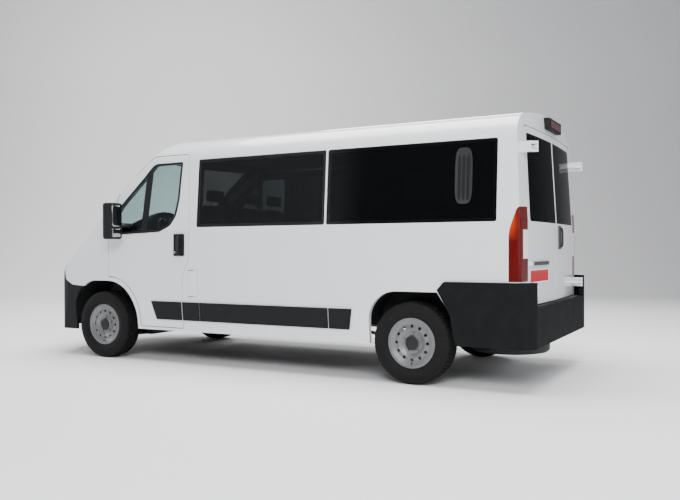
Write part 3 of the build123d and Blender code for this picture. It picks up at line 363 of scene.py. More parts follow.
def vacuum_metal():
    """Bright lamp reflector, faintly fluted."""
    m = Maker("lamp_reflector")
    flutes = m.y.ribs(REFLECTOR_FLUTE)
    return m.finish(Base_Color=m.mix(flutes * 0.2, (0.85, 0.86, 0.88), (0.5, 0.5, 0.52)), Metallic=0.95,
                    Roughness=0.08 + flutes * 0.08, Normal=m.bump(flutes, 0.0010))


def dial_print():
    """Black dial with a lattice of small pale marks."""
    m = Maker("dial_print")
    marks = m.y.sine(DIAL_MARK).over(0.86) * m.z.sine(DIAL_MARK).over(0.2)
    return m.finish(Base_Color=m.mix(marks * 0.5, (0.010, 0.010, 0.011), (0.55, 0.55, 0.55)),
                    Roughness=0.35 + marks * 0.1)


CLOTH, MIRROR, PLATE_FINISH, DIAL_FACE = cloth(), mirror_silver(), plate_finish(), dial_print()
DASH = plastic("dash_skin", (0.030, 0.031, 0.034), 900.0, 0.58)
HUB_BLACK = plastic("hub_black", (0.020, 0.020, 0.022), 300.0, 0.4)
VENT_GREY = plastic("vent_grey", (0.024, 0.025, 0.027), 500.0, 0.5)
SEAL_RUBBER = plastic("seal_rubber", (0.010, 0.010, 0.011), 700.0, 0.45)
TRIM = plastic("grained_plastic")
BUMPER_PLASTIC = plastic("bumper_plastic", (0.0105, 0.0110, 0.0120), gloss=0.03)
BOLT_STEEL = steel_paint("bolt_steel", (0.26, 0.26, 0.27), 0.35, 0.9)
BRIGHT_STEEL = steel_paint("bright_steel", (0.60, 0.61, 0.63), 0.22, 0.95)
RIM_SILVER = steel_paint("rim_silver", (0.17, 0.173, 0.178), 0.40, 0.45)
CHASSIS = steel_paint("chassis_black", (0.035, 0.035, 0.037), 0.5, 0.4, rust=0.5)
SMOKED_RED = tinted_lens("smoked_red_lens", (0.075, 0.004, 0.005), (0.030, 0.003, 0.004))
AMBER_LENS = tinted_lens("amber_lens", (0.85, 0.24, 0.02), (0.50, 0.11, 0.01))
REFLECTOR = vacuum_metal()
PAINTED = paint("body_paint_outer")
PAINTED_SIDE = paint("body_paint_side", side_inward)
PAINTED_ROOF = paint("body_paint_roof", roof_inward, HEADLINING)
PAINTED_FRONT = paint("body_paint_front", front_inward)
PAINTED_REAR = paint("body_paint_rear", rear_inward)
REAR_FITTINGS = fittings_finish()
DARK_GLASS, REAR_GLASS = dark_glass("dark_glass", 0.30), dark_glass("rear_glass", 0.03)
CAB_GLASS = cab_glass("cab_glass", (0.41, 0.56, 0.55))
WINDSCREEN_GLASS = cab_glass("windscreen_glass", (0.84, 0.90, 0.89))
RUBBER = rubber()

NODE_FINISH = {
    "side_panel_left": PAINTED_SIDE, "side_panel_right": PAINTED_SIDE, "sliding_door": PAINTED_SIDE,
    "cab_door_left": PAINTED_SIDE, "cab_door_right": PAINTED_SIDE, "roof_panel": PAINTED_ROOF,
    "cab_frame": PAINTED_FRONT, "rear_door_left": PAINTED_REAR, "rear_door_right": PAINTED_REAR,
    "front_wings": PAINTED, "bonnet": PAINTED, "rear_hinge_brackets": PAINTED,
    "rear_fittings_left": REAR_FITTINGS, "rear_fittings_right": REAR_FITTINGS,
    "side_glass": DARK_GLASS, "rear_glass_left": REAR_GLASS, "rear_glass_right": REAR_GLASS,
    "windscreen": WINDSCREEN_GLASS, "cab_glass_left": CAB_GLASS, "cab_glass_right": CAB_GLASS,
    "headlamps": lamp_cover(), "tail_lamps": tail_lens(), "rear_bumper": BUMPER_PLASTIC,
    "floor_pan": underbody(), "engine_block": cast_iron(), "spare_wheel": spare_finish(),
    "front_subframe": CHASSIS, "rear_axle": CHASSIS, "knuckle_left": CHASSIS, "knuckle_right": CHASSIS,
    "exhaust": steel_paint("exhaust_steel", (0.34, 0.32, 0.30), 0.45, 0.8, rust=0.8),
    "dashboard": DASH,
    "steering_wheel": plastic("wheel_skin", (0.022, 0.022, 0.023), 800.0, 0.45),
}
for name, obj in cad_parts.items():
    finish = NODE_FINISH.get(name)
    if finish is None:
        finish = RIM_SILVER if name.startswith("rim_") else TRIM
    obj.data.materials.clear()
    obj.data.materials.append(finish)


# ------------------------------------------------------------------ surfaces from grids
def piece(name, form, body, finish, smooth=True):
    """A mesh object at the origin from (points, faces), with its faces turned outwards."""
    points, faces = outward(form)
    mesh = bpy.data.meshes.new(name)
    mesh.vertices.add(len(points))
    mesh.vertices.foreach_set("co", points.astype(np.float32).ravel())
    mesh.loops.add(faces.size)
    mesh.loops.foreach_set("vertex_index", faces.ravel().astype(np.int32))
    mesh.polygons.add(len(faces))
    mesh.polygons.foreach_set("loop_start", np.arange(0, faces.size, faces.shape[1], dtype=np.int32))
    mesh.update(calc_edges=True)
    mesh.validate()
    mesh.polygons.foreach_set("use_smooth", np.full(len(mesh.polygons), smooth))
    mesh.materials.append(finish)
    obj = bpy.data.objects.new(name, mesh)
    bpy.context.scene.collection.objects.link(obj)
    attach(obj, body)
    return obj


def grid_faces(rows, columns, close_rows=False, close_columns=False):
    """Corner numbers of the triangles between neighbouring points of a rows by columns grid."""
    i = np.arange(rows if close_rows else rows - 1)
    j = np.arange(columns if close_columns else columns - 1)
    i, j = (index.ravel() for index in np.meshgrid(i, j, indexing="ij"))
    i2, j2 = (i + 1) % rows, (j + 1) % columns
    low, low2, high2, high = i * columns + j, i * columns + j2, i2 * columns + j2, i2 * columns + j
    return np.concatenate([np.stack([low, low2, high2], -1), np.stack([low, high2, high], -1)])


def closed_form(grid):
    """Rings of points, each joined to the next, with the first and last ring closed at their middles."""
    rows, columns = grid.shape[:2]
    points = np.concatenate([grid.reshape(-1, 3), grid[0].mean(0)[None], grid[-1].mean(0)[None]])
    j = np.arange(columns)
    k, last = (j + 1) % columns, (rows - 1) * columns
    ends = [np.stack([np.full(columns, rows * columns), k, j], -1),
            np.stack([np.full(columns, rows * columns + 1), last + j, last + k], -1)]
    return points, np.concatenate([grid_faces(rows, columns, close_columns=True), *ends])


def outward(form):
    """The form with its faces turned outwards: its volume, worked out from its faces, is above 0."""
    points, faces = np.asarray(form[0], float), form[1]
    a, b, c = (points[faces[:, k]] - points.mean(0) for k in range(3))
    return points, faces if np.einsum("ij,ij->", a, np.cross(b, c)) > 0 else faces[:, ::-1]


def joined(forms):
    """One (points, faces) from several."""
    forms = [outward(form) for form in forms]
    starts = np.cumsum([0] + [len(points) for points, _ in forms[:-1]])
    return (np.concatenate([points for points, _ in forms]),
            np.concatenate([faces + start for (_, faces), start in zip(forms, starts)]))


def ring(count, power):
    """Points (cos t, sin t), each drawn out towards the corners by the power 2 / power."""
    t = (np.arange(count) + 0.5) * (2 * pi / count)
    corner = np.stack([np.cos(t), np.sin(t)], -1)
    return np.sign(corner) * np.abs(corner) ** (2.0 / power)


def lathe(profile, turns, centre=(0.0, 0.0, 0.0), side=1.0):
    """Each (radius, offset) of the profile carried round the Y axis: (r sin t, side * offset, r cos t)."""
    t = np.arange(turns) * (2 * pi / turns)
    r, w = np.asarray(profile, float).T[:, :, None]
    return closed_form(np.stack([r * np.sin(t), side * w + 0 * t, r * np.cos(t)], -1) + np.asarray(centre))


def along_x(form, x, y, z, way):
    """A lathed form with its axis laid along X at a place, forwards for way 1 and backwards for way -1."""
    points, faces = form
    return np.stack([x + way * points[:, 1], y + points[:, 0], z + points[:, 2]], -1), faces


def slab(halves, steps, power, count=96):
    """Rings of one rounded outline: each step (inset, height) gives (half - inset) both ways at a height."""
    rings = [np.column_stack([ring(count, power) * (np.asarray(halves) - inset), np.full(count, height)])
             for inset, height in steps]
    return np.stack(rings)


def facing_back(grid, x, y, z):
    """A slab stood up with its face backwards: (u, v, h) becomes (x - h, y + u, z + v)."""
    return closed_form(np.stack([x - grid[..., 2], y + grid[..., 0], z + grid[..., 1]], -1))


def boxed(low, high, edge=0.02):
    """A box with rounded corners in plan and a rounded top edge, between two corners."""
    low, high = np.asarray(low), np.asarray(high)
    middle, half = (low + high) / 2, (high - low) / 2
    steps = ((0.0, -half[2]), (0.0, half[2] - edge), (edge * 0.3, half[2] - edge * 0.3), (edge, half[2]))
    return closed_form(slab(half[:2], steps, 9.0, 48) + middle)


def rod(path, half_a, half_b, across, count):
    """An oval carried along a path: p + a cos t along `across` + b sin t along the path crossed with it."""
    path = np.asarray(path, float)
    along = np.gradient(path, axis=0)
    along /= np.linalg.norm(along, axis=1)[:, None]
    first = np.asarray(across, float) - (along @ np.asarray(across, float))[:, None] * along
    first /= np.linalg.norm(first, axis=1)[:, None]
    second = np.cross(along, first)
    t = np.arange(count) * (2 * pi / count)
    a, b = (np.broadcast_to(half, len(path))[:, None, None] for half in (half_a, half_b))
    cos_t, sin_t = np.cos(t)[None, :, None], np.sin(t)[None, :, None]
    return closed_form(path[:, None] + first[:, None] * a * cos_t + second[:, None] * b * sin_t)


def rounded_rod(path, half_a, half_b, across, count, power=2.5):
    """A rod that narrows to its two ends by (1 - |s| ^ (2 power)) ^ (1 / power), s from -1 to 1 along it."""
    s = np.linspace(-0.999, 0.999, len(path))
    size = (1.0 - np.abs(s) ** (2 * power)) ** (1 / power)
    return rod(path, half_a * size, half_b * size, across, count)


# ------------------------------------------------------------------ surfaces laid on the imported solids
def lattice(u_span, v_span):
    """Nine places: three by three over a rectangle."""
    return [(u, v) for u in np.linspace(*u_span, 3) for v in np.linspace(*v_span, 3)]


def skin(node, axis, side, places):
    """Height of a node's outer face over its two other axes, fitted to the rays of the places that strike it.

    Returns a function of u and v: the sum of c[i, j] u^i v^j, i and j from 0 to 2, on u and v scaled to 1.
    """
    places = np.asarray(places, float)
    middle, half = (places.max(0) + places.min(0)) / 2, (places.max(0) - places.min(0)) / 2
    towards = Vector([-side if k == axis else 0.0 for k in range(3)])
    starts = [Vector(np.insert(place, axis, side * RAY_FROM).tolist()) for place in places]
    struck = [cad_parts[node].ray_cast(start, towards)[:2] for start in starts]
    places = places[[hit for hit, _ in struck]]
    found = [where[axis] for hit, where in struck if hit]

    def terms(u, v):
        """The nine products u^i v^j."""
        a, b = (u - middle[0]) / half[0], (v - middle[1]) / half[1]
        return np.stack([a ** i * b ** j for i in range(3) for j in range(3)], -1)
    c = np.linalg.lstsq(terms(*places.T), np.array(found), rcond=None)[0]
    return lambda u, v: terms(u, v) @ c


def laid_on(grid, height, axis, side):
    """A grid of (u, v, h) set on a skin: its place along the axis is height(u, v) + side times h."""
    u, v, h = grid[..., 0], grid[..., 1], grid[..., 2]
    out = height(u, v) + side * h
    return np.stack([out, u, v] if axis == 0 else [u, out, v], -1)


def plate_on(height, axis, side, place, steps, power):
    """A slab laid on a skin; place is its middle (u, v) and its half width and half height."""
    grid = slab(place[2:], steps, power) + np.array([place[0], place[1], 0.0])
    return closed_form(laid_on(grid, height, axis, side))


def smooth_loop(corners, reach=2):
    """A closed outline through (u, v) corners, cut at even spacing and softened by a running mean."""
    corners = np.asarray(corners, float)
    ends = np.roll(corners, -1, axis=0)
    counts = [max(2, int(np.linalg.norm(b - a) / LOOP_SPACING)) for a, b in zip(corners, ends)]
    runs = [a + (b - a) * np.linspace(0, 1, count, endpoint=False)[:, None]
            for a, b, count in zip(corners, ends, counts)]
    loop = np.concatenate(runs)
    return sum(np.roll(loop, k, axis=0) for k in range(-reach, reach + 1)) / (2 * reach + 1)


def inset_loop(loop, amount):
    """The loop moved inwards by an amount, along the normal of its neighbours' chord."""
    chord = np.roll(loop, -1, axis=0) - np.roll(loop, 1, axis=0)
    normal = np.stack([-chord[:, 1], chord[:, 0]], -1) / np.linalg.norm(chord, axis=1)[:, None]
    area = np.sum(loop[:, 0] * np.roll(loop[:, 1], -1) - np.roll(loop[:, 0], -1) * loop[:, 1])
    return loop + normal * amount * np.sign(area)


def seal(corners, steps, height, axis, side, reach=2):
    """A closed strip round an outline: each (inset, lift) of its section carried round and set on a skin."""
    loop = smooth_loop(corners, reach)
    grid = np.stack([np.column_stack([inset_loop(loop, inset), np.full(len(loop), lift)])
                     for inset, lift in steps])
    return (laid_on(grid, height, axis, side).reshape(-1, 3),
            grid_faces(len(steps), len(loop), close_rows=True, close_columns=True))


# ------------------------------------------------------------------ wheels
TYRE_R = 0.341
FRONT_X, REAR_X, FRONT_Y, REAR_Y = 1.7585, -1.6915, 0.905, 0.895   # the wheels' middles
WHEELS = (("front_left", FRONT_X, FRONT_Y, 1.0), ("front_right", FRONT_X, -FRONT_Y, -1.0),
          ("rear_left", REAR_X, REAR_Y, 1.0), ("rear_right", REAR_X, -REAR_Y, -1.0))
TREAD_PITCHES, STEPS_A_PITCH = 64, 6
TYRE_WALL = ((0.2095, 0.0780), (0.2120, 0.0862), (0.2200, 0.0905), (0.2360, 0.0985), (0.2560, 0.1055),
             (0.2700, 0.1072), (0.2860, 0.1062), (0.3020, 0.1020), (0.3060, 0.1032), (0.3090, 0.1012),
             (0.3200, 0.0975), (0.3285, 0.0915))   # radius and half width, from the bead to the shoulder
TYRE_CROWN = ((0.3350, 0.0850), (0.3395, 0.0780), (0.3408, 0.0570), (0.3408, 0.0560), (0.3408, 0.0490),
              (0.3408, 0.0480), (0.3408, 0.0230), (0.3408, 0.0220), (0.3408, 0.0150), (0.3408, 0.0140))
GROOVES = ((0.0485, 0.0565), (0.0145, 0.0225))   # from and to, each side of the middle
GROOVE_DEPTH, SIPE_DEPTH, SIPE_FROM_R = 0.008, 0.006, 0.333
BOLTS, BOLT_CIRCLE_R, BOLT_FACE_Y = 5, 0.077, 0.055
# The next profiles are (radius, offset outwards).
BOLT_HEAD = ((0.0095, -0.004), (0.0095, 0.010), (0.0076, 0.0135))
HUB_CAP = ((0.0570, 0.0703), (0.0570, 0.0745), (0.0545, 0.0770), (0.0400, 0.0785), (0.0200, 0.0790))
VALVE_R = 0.168
VALVE_STEM = ((0.0042, 0.058), (0.0042, 0.078), (0.0050, 0.079), (0.0050, 0.094), (0.0035, 0.096))


def tyre(centre, side):
    """Profile round the axle: bead, bulged wall, shoulder, and a tread lowered in four grooves and in sipes.

    The radius at angle t and place w across is the profile's radius, less the groove's depth where w is in a
    groove, or else less the sipe's depth where t is in the sipe of its pitch. Between the outer grooves the
    sipes are shifted by two steps, one way on each half.
    """
    half = TYRE_WALL + TYRE_CROWN
    profile = np.array(half + tuple((r, -w) for r, w in reversed(half)))
    steps = np.arange(TREAD_PITCHES * STEPS_A_PITCH)
    t = steps * (2 * pi / len(steps))
    r, w = profile[:, 0][:, None] + 0 * t, profile[:, 1][:, None] + 0 * t
    in_groove = sum((np.abs(w) > low) & (np.abs(w) < high) for low, high in GROOVES) > 0
    shift = np.where(np.abs(w) > GROOVES[0][1], 0, 2 * np.sign(w).astype(int))
    in_sipe = (r > SIPE_FROM_R) & ((steps[None, :] + shift) % STEPS_A_PITCH == 0)
    r = r - GROOVE_DEPTH * in_groove - SIPE_DEPTH * (in_sipe & ~in_groove)
    grid = np.stack([r * np.sin(t), side * w, r * np.cos(t)], -1) + np.asarray(centre)
    return grid.reshape(-1, 3), grid_faces(len(profile), len(steps), close_rows=True, close_columns=True)


def wheel(place, x, y, side):
    """A wheel's tyre, and its lathed hub cap, bolts on their circle, and valve."""
    centre, turning = (x, y, TYRE_R), f"wheel_{place}"
    tread = tyre(centre, side)
    tread = piece(f"tyre_with_tread_{place}", tread, turning, RUBBER, smooth=False)
    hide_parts(f"tyre_{place}")
    piece(f"hub_cap_{place}", lathe(HUB_CAP, 40, centre, side), turning, HUB_BLACK)
    head = [(r, w + BOLT_FACE_Y) for r, w in BOLT_HEAD]
    bolts = [lathe(head, 6, (x + BOLT_CIRCLE_R * sin(a), y, TYRE_R + BOLT_CIRCLE_R * cos(a)), side)
             for a in np.arange(BOLTS) * 2 * pi / BOLTS]
    piece(f"wheel_bolts_{place}", joined(bolts), turning, BOLT_STEEL, smooth=False)
    valve = lathe(VALVE_STEM, 12, (x, y, TYRE_R - VALVE_R), side)
    piece(f"tyre_valve_{place}", valve, turning, HUB_BLACK)


for wheel_facts in WHEELS:
    wheel(*wheel_facts)

# ------------------------------------------------------------------ padded seats
CAB_FLOOR_Z, SALOON_FLOOR_Z = 0.680, 0.535
SEATS = (("driver", 1.300, 0.440, CAB_FLOOR_Z, 0.500), ("passenger_inner", 1.300, -0.210, CAB_FLOOR_Z, 0.430),
         ("passenger_outer", 1.300, -0.650, CAB_FLOOR_Z, 0.430))   # x of the front edge, y, floor, width
SEATS += tuple((f"{row}_row_{place}", x, y, SALOON_FLOOR_Z, 0.460)
               for row, x in (("second", 0.150), ("third", -0.800))
               for place, y in (("left", 0.600), ("middle", 0.110), ("right", -0.600)))
STANDS_FOR = {"driver": "seats_front", "second_row_left": "seats_rear"}
FRAME_H, CUSHION_L, CUSHION_T = 0.210, 0.500, 0.125
# Each pair on the next three lines is (behind the front edge, above the frame).
BACK_LOW, BACK_HIGH, BACK_T, BACK_SHARE = (0.440, 0.075), (0.548, 0.690), 0.112, 0.97
HEADREST, HEADREST_T, HEADREST_H, HEADREST_W = (0.560, 0.775), 0.095, 0.125, 0.235
POST_LOW, POST_HIGH, POST_R, POST_Y = (0.550, 0.640), (0.560, 0.760), 0.006, 0.06
BASE_X = (0.43, 0.07)   # from and to, behind the front edge
BASE_INSET, BASE_LIFT, BASE_LAP = 0.06, 0.001, 0.008   # from the sides, off the floor, into the cushion
PIPING_R, CHANNEL_W, CHANNEL_DEPTH = 0.004, 0.010, 0.010
SEAM_LEVEL, SEAM_W = 0.62, 0.10   # where the piping runs and its spread, shares of half the thickness
PULL_IN = 0.035   # share of the size, between the corners
BOLSTER_FROM, BOLSTER_OVER = 0.55, 0.3   # shares of half the width
CROSS_SEAM_TO, LONG_SEAM_TO, LONG_SEAM_AT = 0.62, 0.86, 0.31   # of half width, half length, width


def pad(length, width, thick, crown, bolster, channels, rings=46, count=72):
    """A cushion about its middle, length along u, width along v, and thick along w.

    Rings run from the middle of the top over the side to the middle of the bottom. With q from 0 to pi,
    the outline's size is |sin q| ^ 0.42, its corners are (cos t, sin t) drawn out by the power 0.36, and the
    height is cos q drawn out by the power 0.62. The sides pull in between the corners, the top is crowned
    and raised at its long edges, the seams carry a rolled piping, and the sewn channels lower the top by a
    bell curve about each of their lines.
    """
    q = np.linspace(0.03, pi - 0.03, rings)[:, None]
    t = (np.arange(count) + 0.5)[None, :] * (2 * pi / count)
    reach = np.sin(q) ** 0.42
    pull = 1.0 - PULL_IN * np.cos(2 * t) ** 2
    drawn = [np.sign(f(t)) * np.abs(f(t)) ** 0.36 for f in (np.cos, np.sin)]
    level = np.sign(np.cos(q)) * np.abs(np.cos(q)) ** 0.62
    piping = PIPING_R * sum(np.exp(-((level + seam) / SEAM_W) ** 2) for seam in (-SEAM_LEVEL, SEAM_LEVEL))
    u = (length / 2 - PIPING_R) * reach * pull * drawn[0] + piping * drawn[0]
    v = (width / 2 - PIPING_R) * reach * pull * drawn[1] + piping * drawn[1]
    u_share, v_share = 2 * u / length, 2 * v / width
    top = np.clip(np.cos(q) * 3.0, 0.0, 1.0)
    rise = -crown * (1.0 - (1.0 - u_share ** 2) * (1.0 - 0.6 * v_share ** 2))
    rise = rise + bolster * np.clip((np.abs(v_share) - BOLSTER_FROM) / BOLSTER_OVER, 0.0, 1.0) ** 2
    cross_seams = sum(np.exp(-((u - at * length) / CHANNEL_W) ** 2) for at in channels)
    cross_seams = cross_seams * (np.abs(v_share) < CROSS_SEAM_TO)
    long_seams = np.exp(-((np.abs(v) - LONG_SEAM_AT * width) / CHANNEL_W) ** 2)
    long_seams = long_seams * (np.abs(u_share) < LONG_SEAM_TO)
    w = (thick / 2 - bolster) * level + top * (rise - CHANNEL_DEPTH * np.maximum(cross_seams, long_seams))
    return np.stack([u, v, w], -1)


def leaned(grid, middle, lean):
    """A pad stood up: its length goes up the lean direction, its top faces forward."""
    up = np.array([lean[0], 0.0, lean[1]]) / np.hypot(*lean)
    ahead = np.array([up[2], 0.0, -up[0]])
    return middle + grid[..., :1] * up + grid[..., 1:2] * np.array([0.0, 1.0, 0.0]) + grid[..., 2:] * ahead


def upholstered(name, grid):
    """A pad as a piece of the body in seat cloth."""
    cushion = piece(name, closed_form(grid), "body", CLOTH)
    return cushion


def seat(name, x, y, floor_z, width):
    """One seat: cushion, leaned back, headrest on two posts, and the base that carries them."""
    frame_z = floor_z + FRAME_H
    grid = pad(CUSHION_L, width, CUSHION_T, crown=0.016, bolster=0.010, channels=(-0.18, 0.02, 0.22))
    cushion = upholstered(f"seat_cushion_{name}",
                          grid + np.array([x - CUSHION_L / 2, y, frame_z + CUSHION_T / 2]))
    if name in STANDS_FOR:
        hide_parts(STANDS_FOR[name])

    lean = np.subtract(BACK_HIGH, BACK_LOW) * (-1.0, 1.0)
    middle = np.array([x - (BACK_LOW[0] + BACK_HIGH[0]) / 2, y, frame_z + (BACK_LOW[1] + BACK_HIGH[1]) / 2])
    grid = pad(float(np.hypot(*lean)), width * BACK_SHARE, BACK_T, crown=0.014, bolster=0.012,
               channels=(-0.24, -0.04, 0.16))
    upholstered(f"seat_back_{name}", leaned(grid, middle, lean))

    grid = pad(HEADREST_H, HEADREST_W, HEADREST_T, crown=0.008, bolster=0.004, channels=(),
               rings=30, count=48)
    middle = np.array([x - HEADREST[0], y, frame_z + HEADREST[1]])
    upholstered(f"headrest_{name}", leaned(grid, middle, lean))

    ends = [[(x - behind, y + offset, frame_z + above) for behind, above in (POST_LOW, POST_HIGH)]
            for offset in (-POST_Y, POST_Y)]
    posts = [rod(np.linspace(low, high, 5), POST_R, POST_R, (1, 0, 0), 10) for low, high in ends]
    piece(f"headrest_posts_{name}", joined(posts), "body", BRIGHT_STEEL)
    base = boxed((x - BASE_X[0], y - width / 2 + BASE_INSET, floor_z + BASE_LIFT),
                 (x - BASE_X[1], y + width / 2 - BASE_INSET, frame_z + BASE_LAP))
    piece(f"seat_base_{name}", base, "body", TRIM)


for seat_facts in SEATS:
    seat(*seat_facts)

# ------------------------------------------------------------------ cabin fittings
COWL = (1.40, 1.72, 0.22, 0.66, 1.322, 1.515)   # x from and to, y from and to, z from and to
COWL_TAPER = 0.45   # share of its height that it loses towards the windscreen
COWL_TUCK, COWL_FOOT = 0.004, 0.006   # how far its sides and its foot reach below the low edge
DIALS, DIAL_Z = ((0.365, 0.044), (0.440, 0.034), (0.515, 0.044)), 1.405   # y and radius
DIAL_FACE_STEPS = ((1.0, 0.0), (1.0, 0.003), (0.94, 0.004))   # share of the radius, and offset
DIAL_RIM_STEPS = ((1.10, -0.002), (1.10, 0.007), (1.04, 0.010), (1.0, 0.004))
VENTS = ((-0.10, 0.085), (0.09, 0.085), (0.78, 0.075), (-0.78, 0.075))   # y and half width
VENT_X, VENT_Z, VENT_HALF_H, VENT_DEPTH = 1.392, 1.255, 0.045, 0.012
VENT_STEPS = ((0.0, 0.0), (0.0, 0.020), (0.004, 0.024), (0.010, 0.022), (0.012, 0.010))
BLADE_HALF_W, BLADE_HALF_T, BLADE_LEAN, BLADE_OUT, BLADE_END = 0.0085, 0.0016, (0.8, 0.0, -0.6), 0.004, 0.014
LEVER = ((1.365, 0.02, 1.135), (1.345, 0.02, 1.175), (1.320, 0.02, 1.215), (1.305, 0.02, 1.240))
LEVER_R, KNOB, KNOB_HALF = 0.007, ((1.300, 0.02, 1.232), (1.288, 0.02, 1.290)), (0.026, 0.022)


def instrument_cowl():
    """A hood over the dials: an arch carried forward, its height falling towards the windscreen.

    Across, the arch is z = low + (high - low) (1 - |s| ^ 3) ^ 0.5 with s from -1 to 1. Along, it loses 45%
    of its height and 6% of its width. Its feet reach a little below the low edge.
    """
    x0, x1, y0, y1, low, high = COWL
    s = np.linspace(-1, 1, 29)
    arch = (1.0 - np.abs(s) ** 3) ** 0.5
    x = np.linspace(x0, x1, 12)[:, None]
    share = 1.0 - COWL_TAPER * ((x - x0) / (x1 - x0)) ** 1.5
    y = (y0 + y1) / 2 + s[None, :] * (y1 - y0) / 2 * (0.86 + 0.14 * share)
    z = low + (high - low) * share * arch[None, :] - COWL_TUCK * (1 - arch)[None, :]
    outer = np.stack([x + 0 * y, y, z], -1)
    foot = outer.copy()[:, ::-1]
    foot[..., 2] = low - COWL_FOOT
    piece("instrument_cowl", closed_form(np.concatenate([outer, foot], axis=1)), "body", DASH)


def dials():
    """Lathed dial faces and rims, facing back under the cowl's near edge."""
    def lathed(steps):
        return joined([along_x(lathe([(radius * share, offset) for share, offset in steps], 40),
                               COWL[0] - 0.001, y, DIAL_Z, -1.0) for y, radius in DIALS])
    piece("dial_faces", lathed(DIAL_FACE_STEPS), "body", DIAL_FACE)
    piece("dial_rims", lathed(DIAL_RIM_STEPS), "body", BRIGHT_STEEL)


def dashboard_vents():
    """Rounded frames with four tilted blades across each."""
    forms = []
    for y, half_y in VENTS:
        surround = slab((half_y, VENT_HALF_H), VENT_STEPS, 5.0, 48)
        forms.append(facing_back(surround, VENT_X + VENT_DEPTH, y, VENT_Z))
        for level in np.linspace(-0.6, 0.6, 4) * VENT_HALF_H:
            x, z = VENT_X - BLADE_OUT, VENT_Z + level
            blade = np.linspace((x, y - half_y + BLADE_END, z), (x, y + half_y - BLADE_END, z), 6)
            forms.append(rod(blade, BLADE_HALF_W, BLADE_HALF_T, BLADE_LEAN, 10))
    piece("dashboard_vents", joined(forms), "body", HUB_BLACK)


def gear_lever():
    """A round rod up to a knob, an oval rod with rounded ends."""
    piece("gear_lever", rod(LEVER, LEVER_R, LEVER_R, (0, 1, 0), 14), "body", BRIGHT_STEEL)
    knob = rounded_rod(np.linspace(*KNOB, 10), *KNOB_HALF, (0, 1, 0), 20)
    piece("gear_knob", knob, "body", HUB_BLACK)


instrument_cowl()
dials()
dashboard_vents()
gear_lever()

# ------------------------------------------------------------------ mirrors, window seals and pull grips
MIRROR_X, MIRROR_Y, MIRROR_HALF_Y = 1.4005, 1.172, 0.0605
MIRROR_GLASSES = (("lower", 1.284, 0.0445), ("upper", 1.452, 0.1085))   # z and half height
# Steps of a slab and of a seal's section are (inset, height); those of a lathed form (radius, offset).
MIRROR_STEPS = ((0.002, 0.0), (0.0, 0.001), (0.0, 0.003), (0.001, 0.004), (0.020, 0.0046), (0.040, 0.0049))
CAB_PANE = ((1.650, 1.262), (1.640, 1.410), (1.525, 1.565), (1.100, 1.955), (1.065, 1.968), (0.729, 1.970),
            (0.755, 1.600), (0.790, 1.440), (0.862, 1.345), (1.000, 1.287))   # corners, x and z
PANE_PLACES = ((0.74, 1.94), (0.90, 1.94), (1.07, 1.94), (0.77, 1.65), (1.00, 1.65), (1.38, 1.65),
               (0.83, 1.44), (1.20, 1.44), (1.61, 1.44), (1.05, 1.32), (1.30, 1.30), (1.63, 1.29),
               (1.20, 1.80))
SEAL_STEPS = ((0.001, -0.002), (0.001, 0.0015), (0.004, 0.0030), (0.020, 0.0030), (0.024, 0.0010),
              (0.024, -0.002))
SCREEN = ((0.865, 1.335), (0.788, 2.078), (-0.788, 2.078), (-0.865, 1.335))   # corners, y and z
SCREEN_PLACES = [(y, z) for z in (1.36, 1.45, 1.60, 1.75, 1.90, 2.05)
                 for y in (-0.74, -0.50, -0.25, 0.0, 0.25, 0.50, 0.74)]
BAND_STEPS = ((0.000, -0.001), (0.000, 0.0012), (0.003, 0.0016), (0.048, 0.0016), (0.050, 0.0012),
              (0.050, -0.001))
GRIP_LIFT, GRIP_BOW, GRIP_HALF_T = 0.006, 0.010, 0.0085
# A grip is its place across, its z from and to, and its half width. Its plate's height is read over a span.
CAB_GRIP, CAB_PLATE = (0.740, (1.066, 1.250), 0.0165), ((0.69, 0.79), (1.06, 1.255))
SLIDE_GRIP, SLIDE_PLATE = (0.498, (1.066, 1.250), 0.0165), ((0.445, 0.55), (1.06, 1.255))
TAIL_GRIP, TAIL_PLATE = (-0.110, (1.122, 1.298), 0.0145), ((-0.132, -0.088), (1.12, 1.30))
LOCK_X, LOCK_Z, LOCK_SINK = 0.785, 1.085, 0.0005
LOCK_STEPS = ((0.0095, 0.0), (0.0095, 0.003), (0.0080, 0.004), (0.003, 0.0045), (0.0012, 0.0030))


def mirror_glasses(side_name, side):
    """Two gently domed glasses in a mirror's housing, facing back."""
    for level, z, half_z in MIRROR_GLASSES:
        grid = slab((MIRROR_HALF_Y, half_z), MIRROR_STEPS, 7.0, 64)
        form = facing_back(grid, MIRROR_X, side * MIRROR_Y, z)
        piece(f"mirror_glass_{level}_{side_name}", form, f"cab_door_{side_name}", MIRROR)


def pull_grip(height, axis, side, u, z_span, half_width):
    """An upright bar that stands off its plate by lift + bow (1 - s ^ 6), s from -1 to 1 along it."""
    s = np.linspace(-1, 1, 19)
    lift = GRIP_LIFT + GRIP_BOW * (1.0 - s ** 6)
    path = laid_on(np.column_stack([np.full(19, u), np.linspace(*z_span, 19), lift]), height, axis, side)
    across = (1, 0, 0) if axis == 1 else (0, 1, 0)
    return rounded_rod(path, half_width, GRIP_HALF_T, across, 20, 4.0)


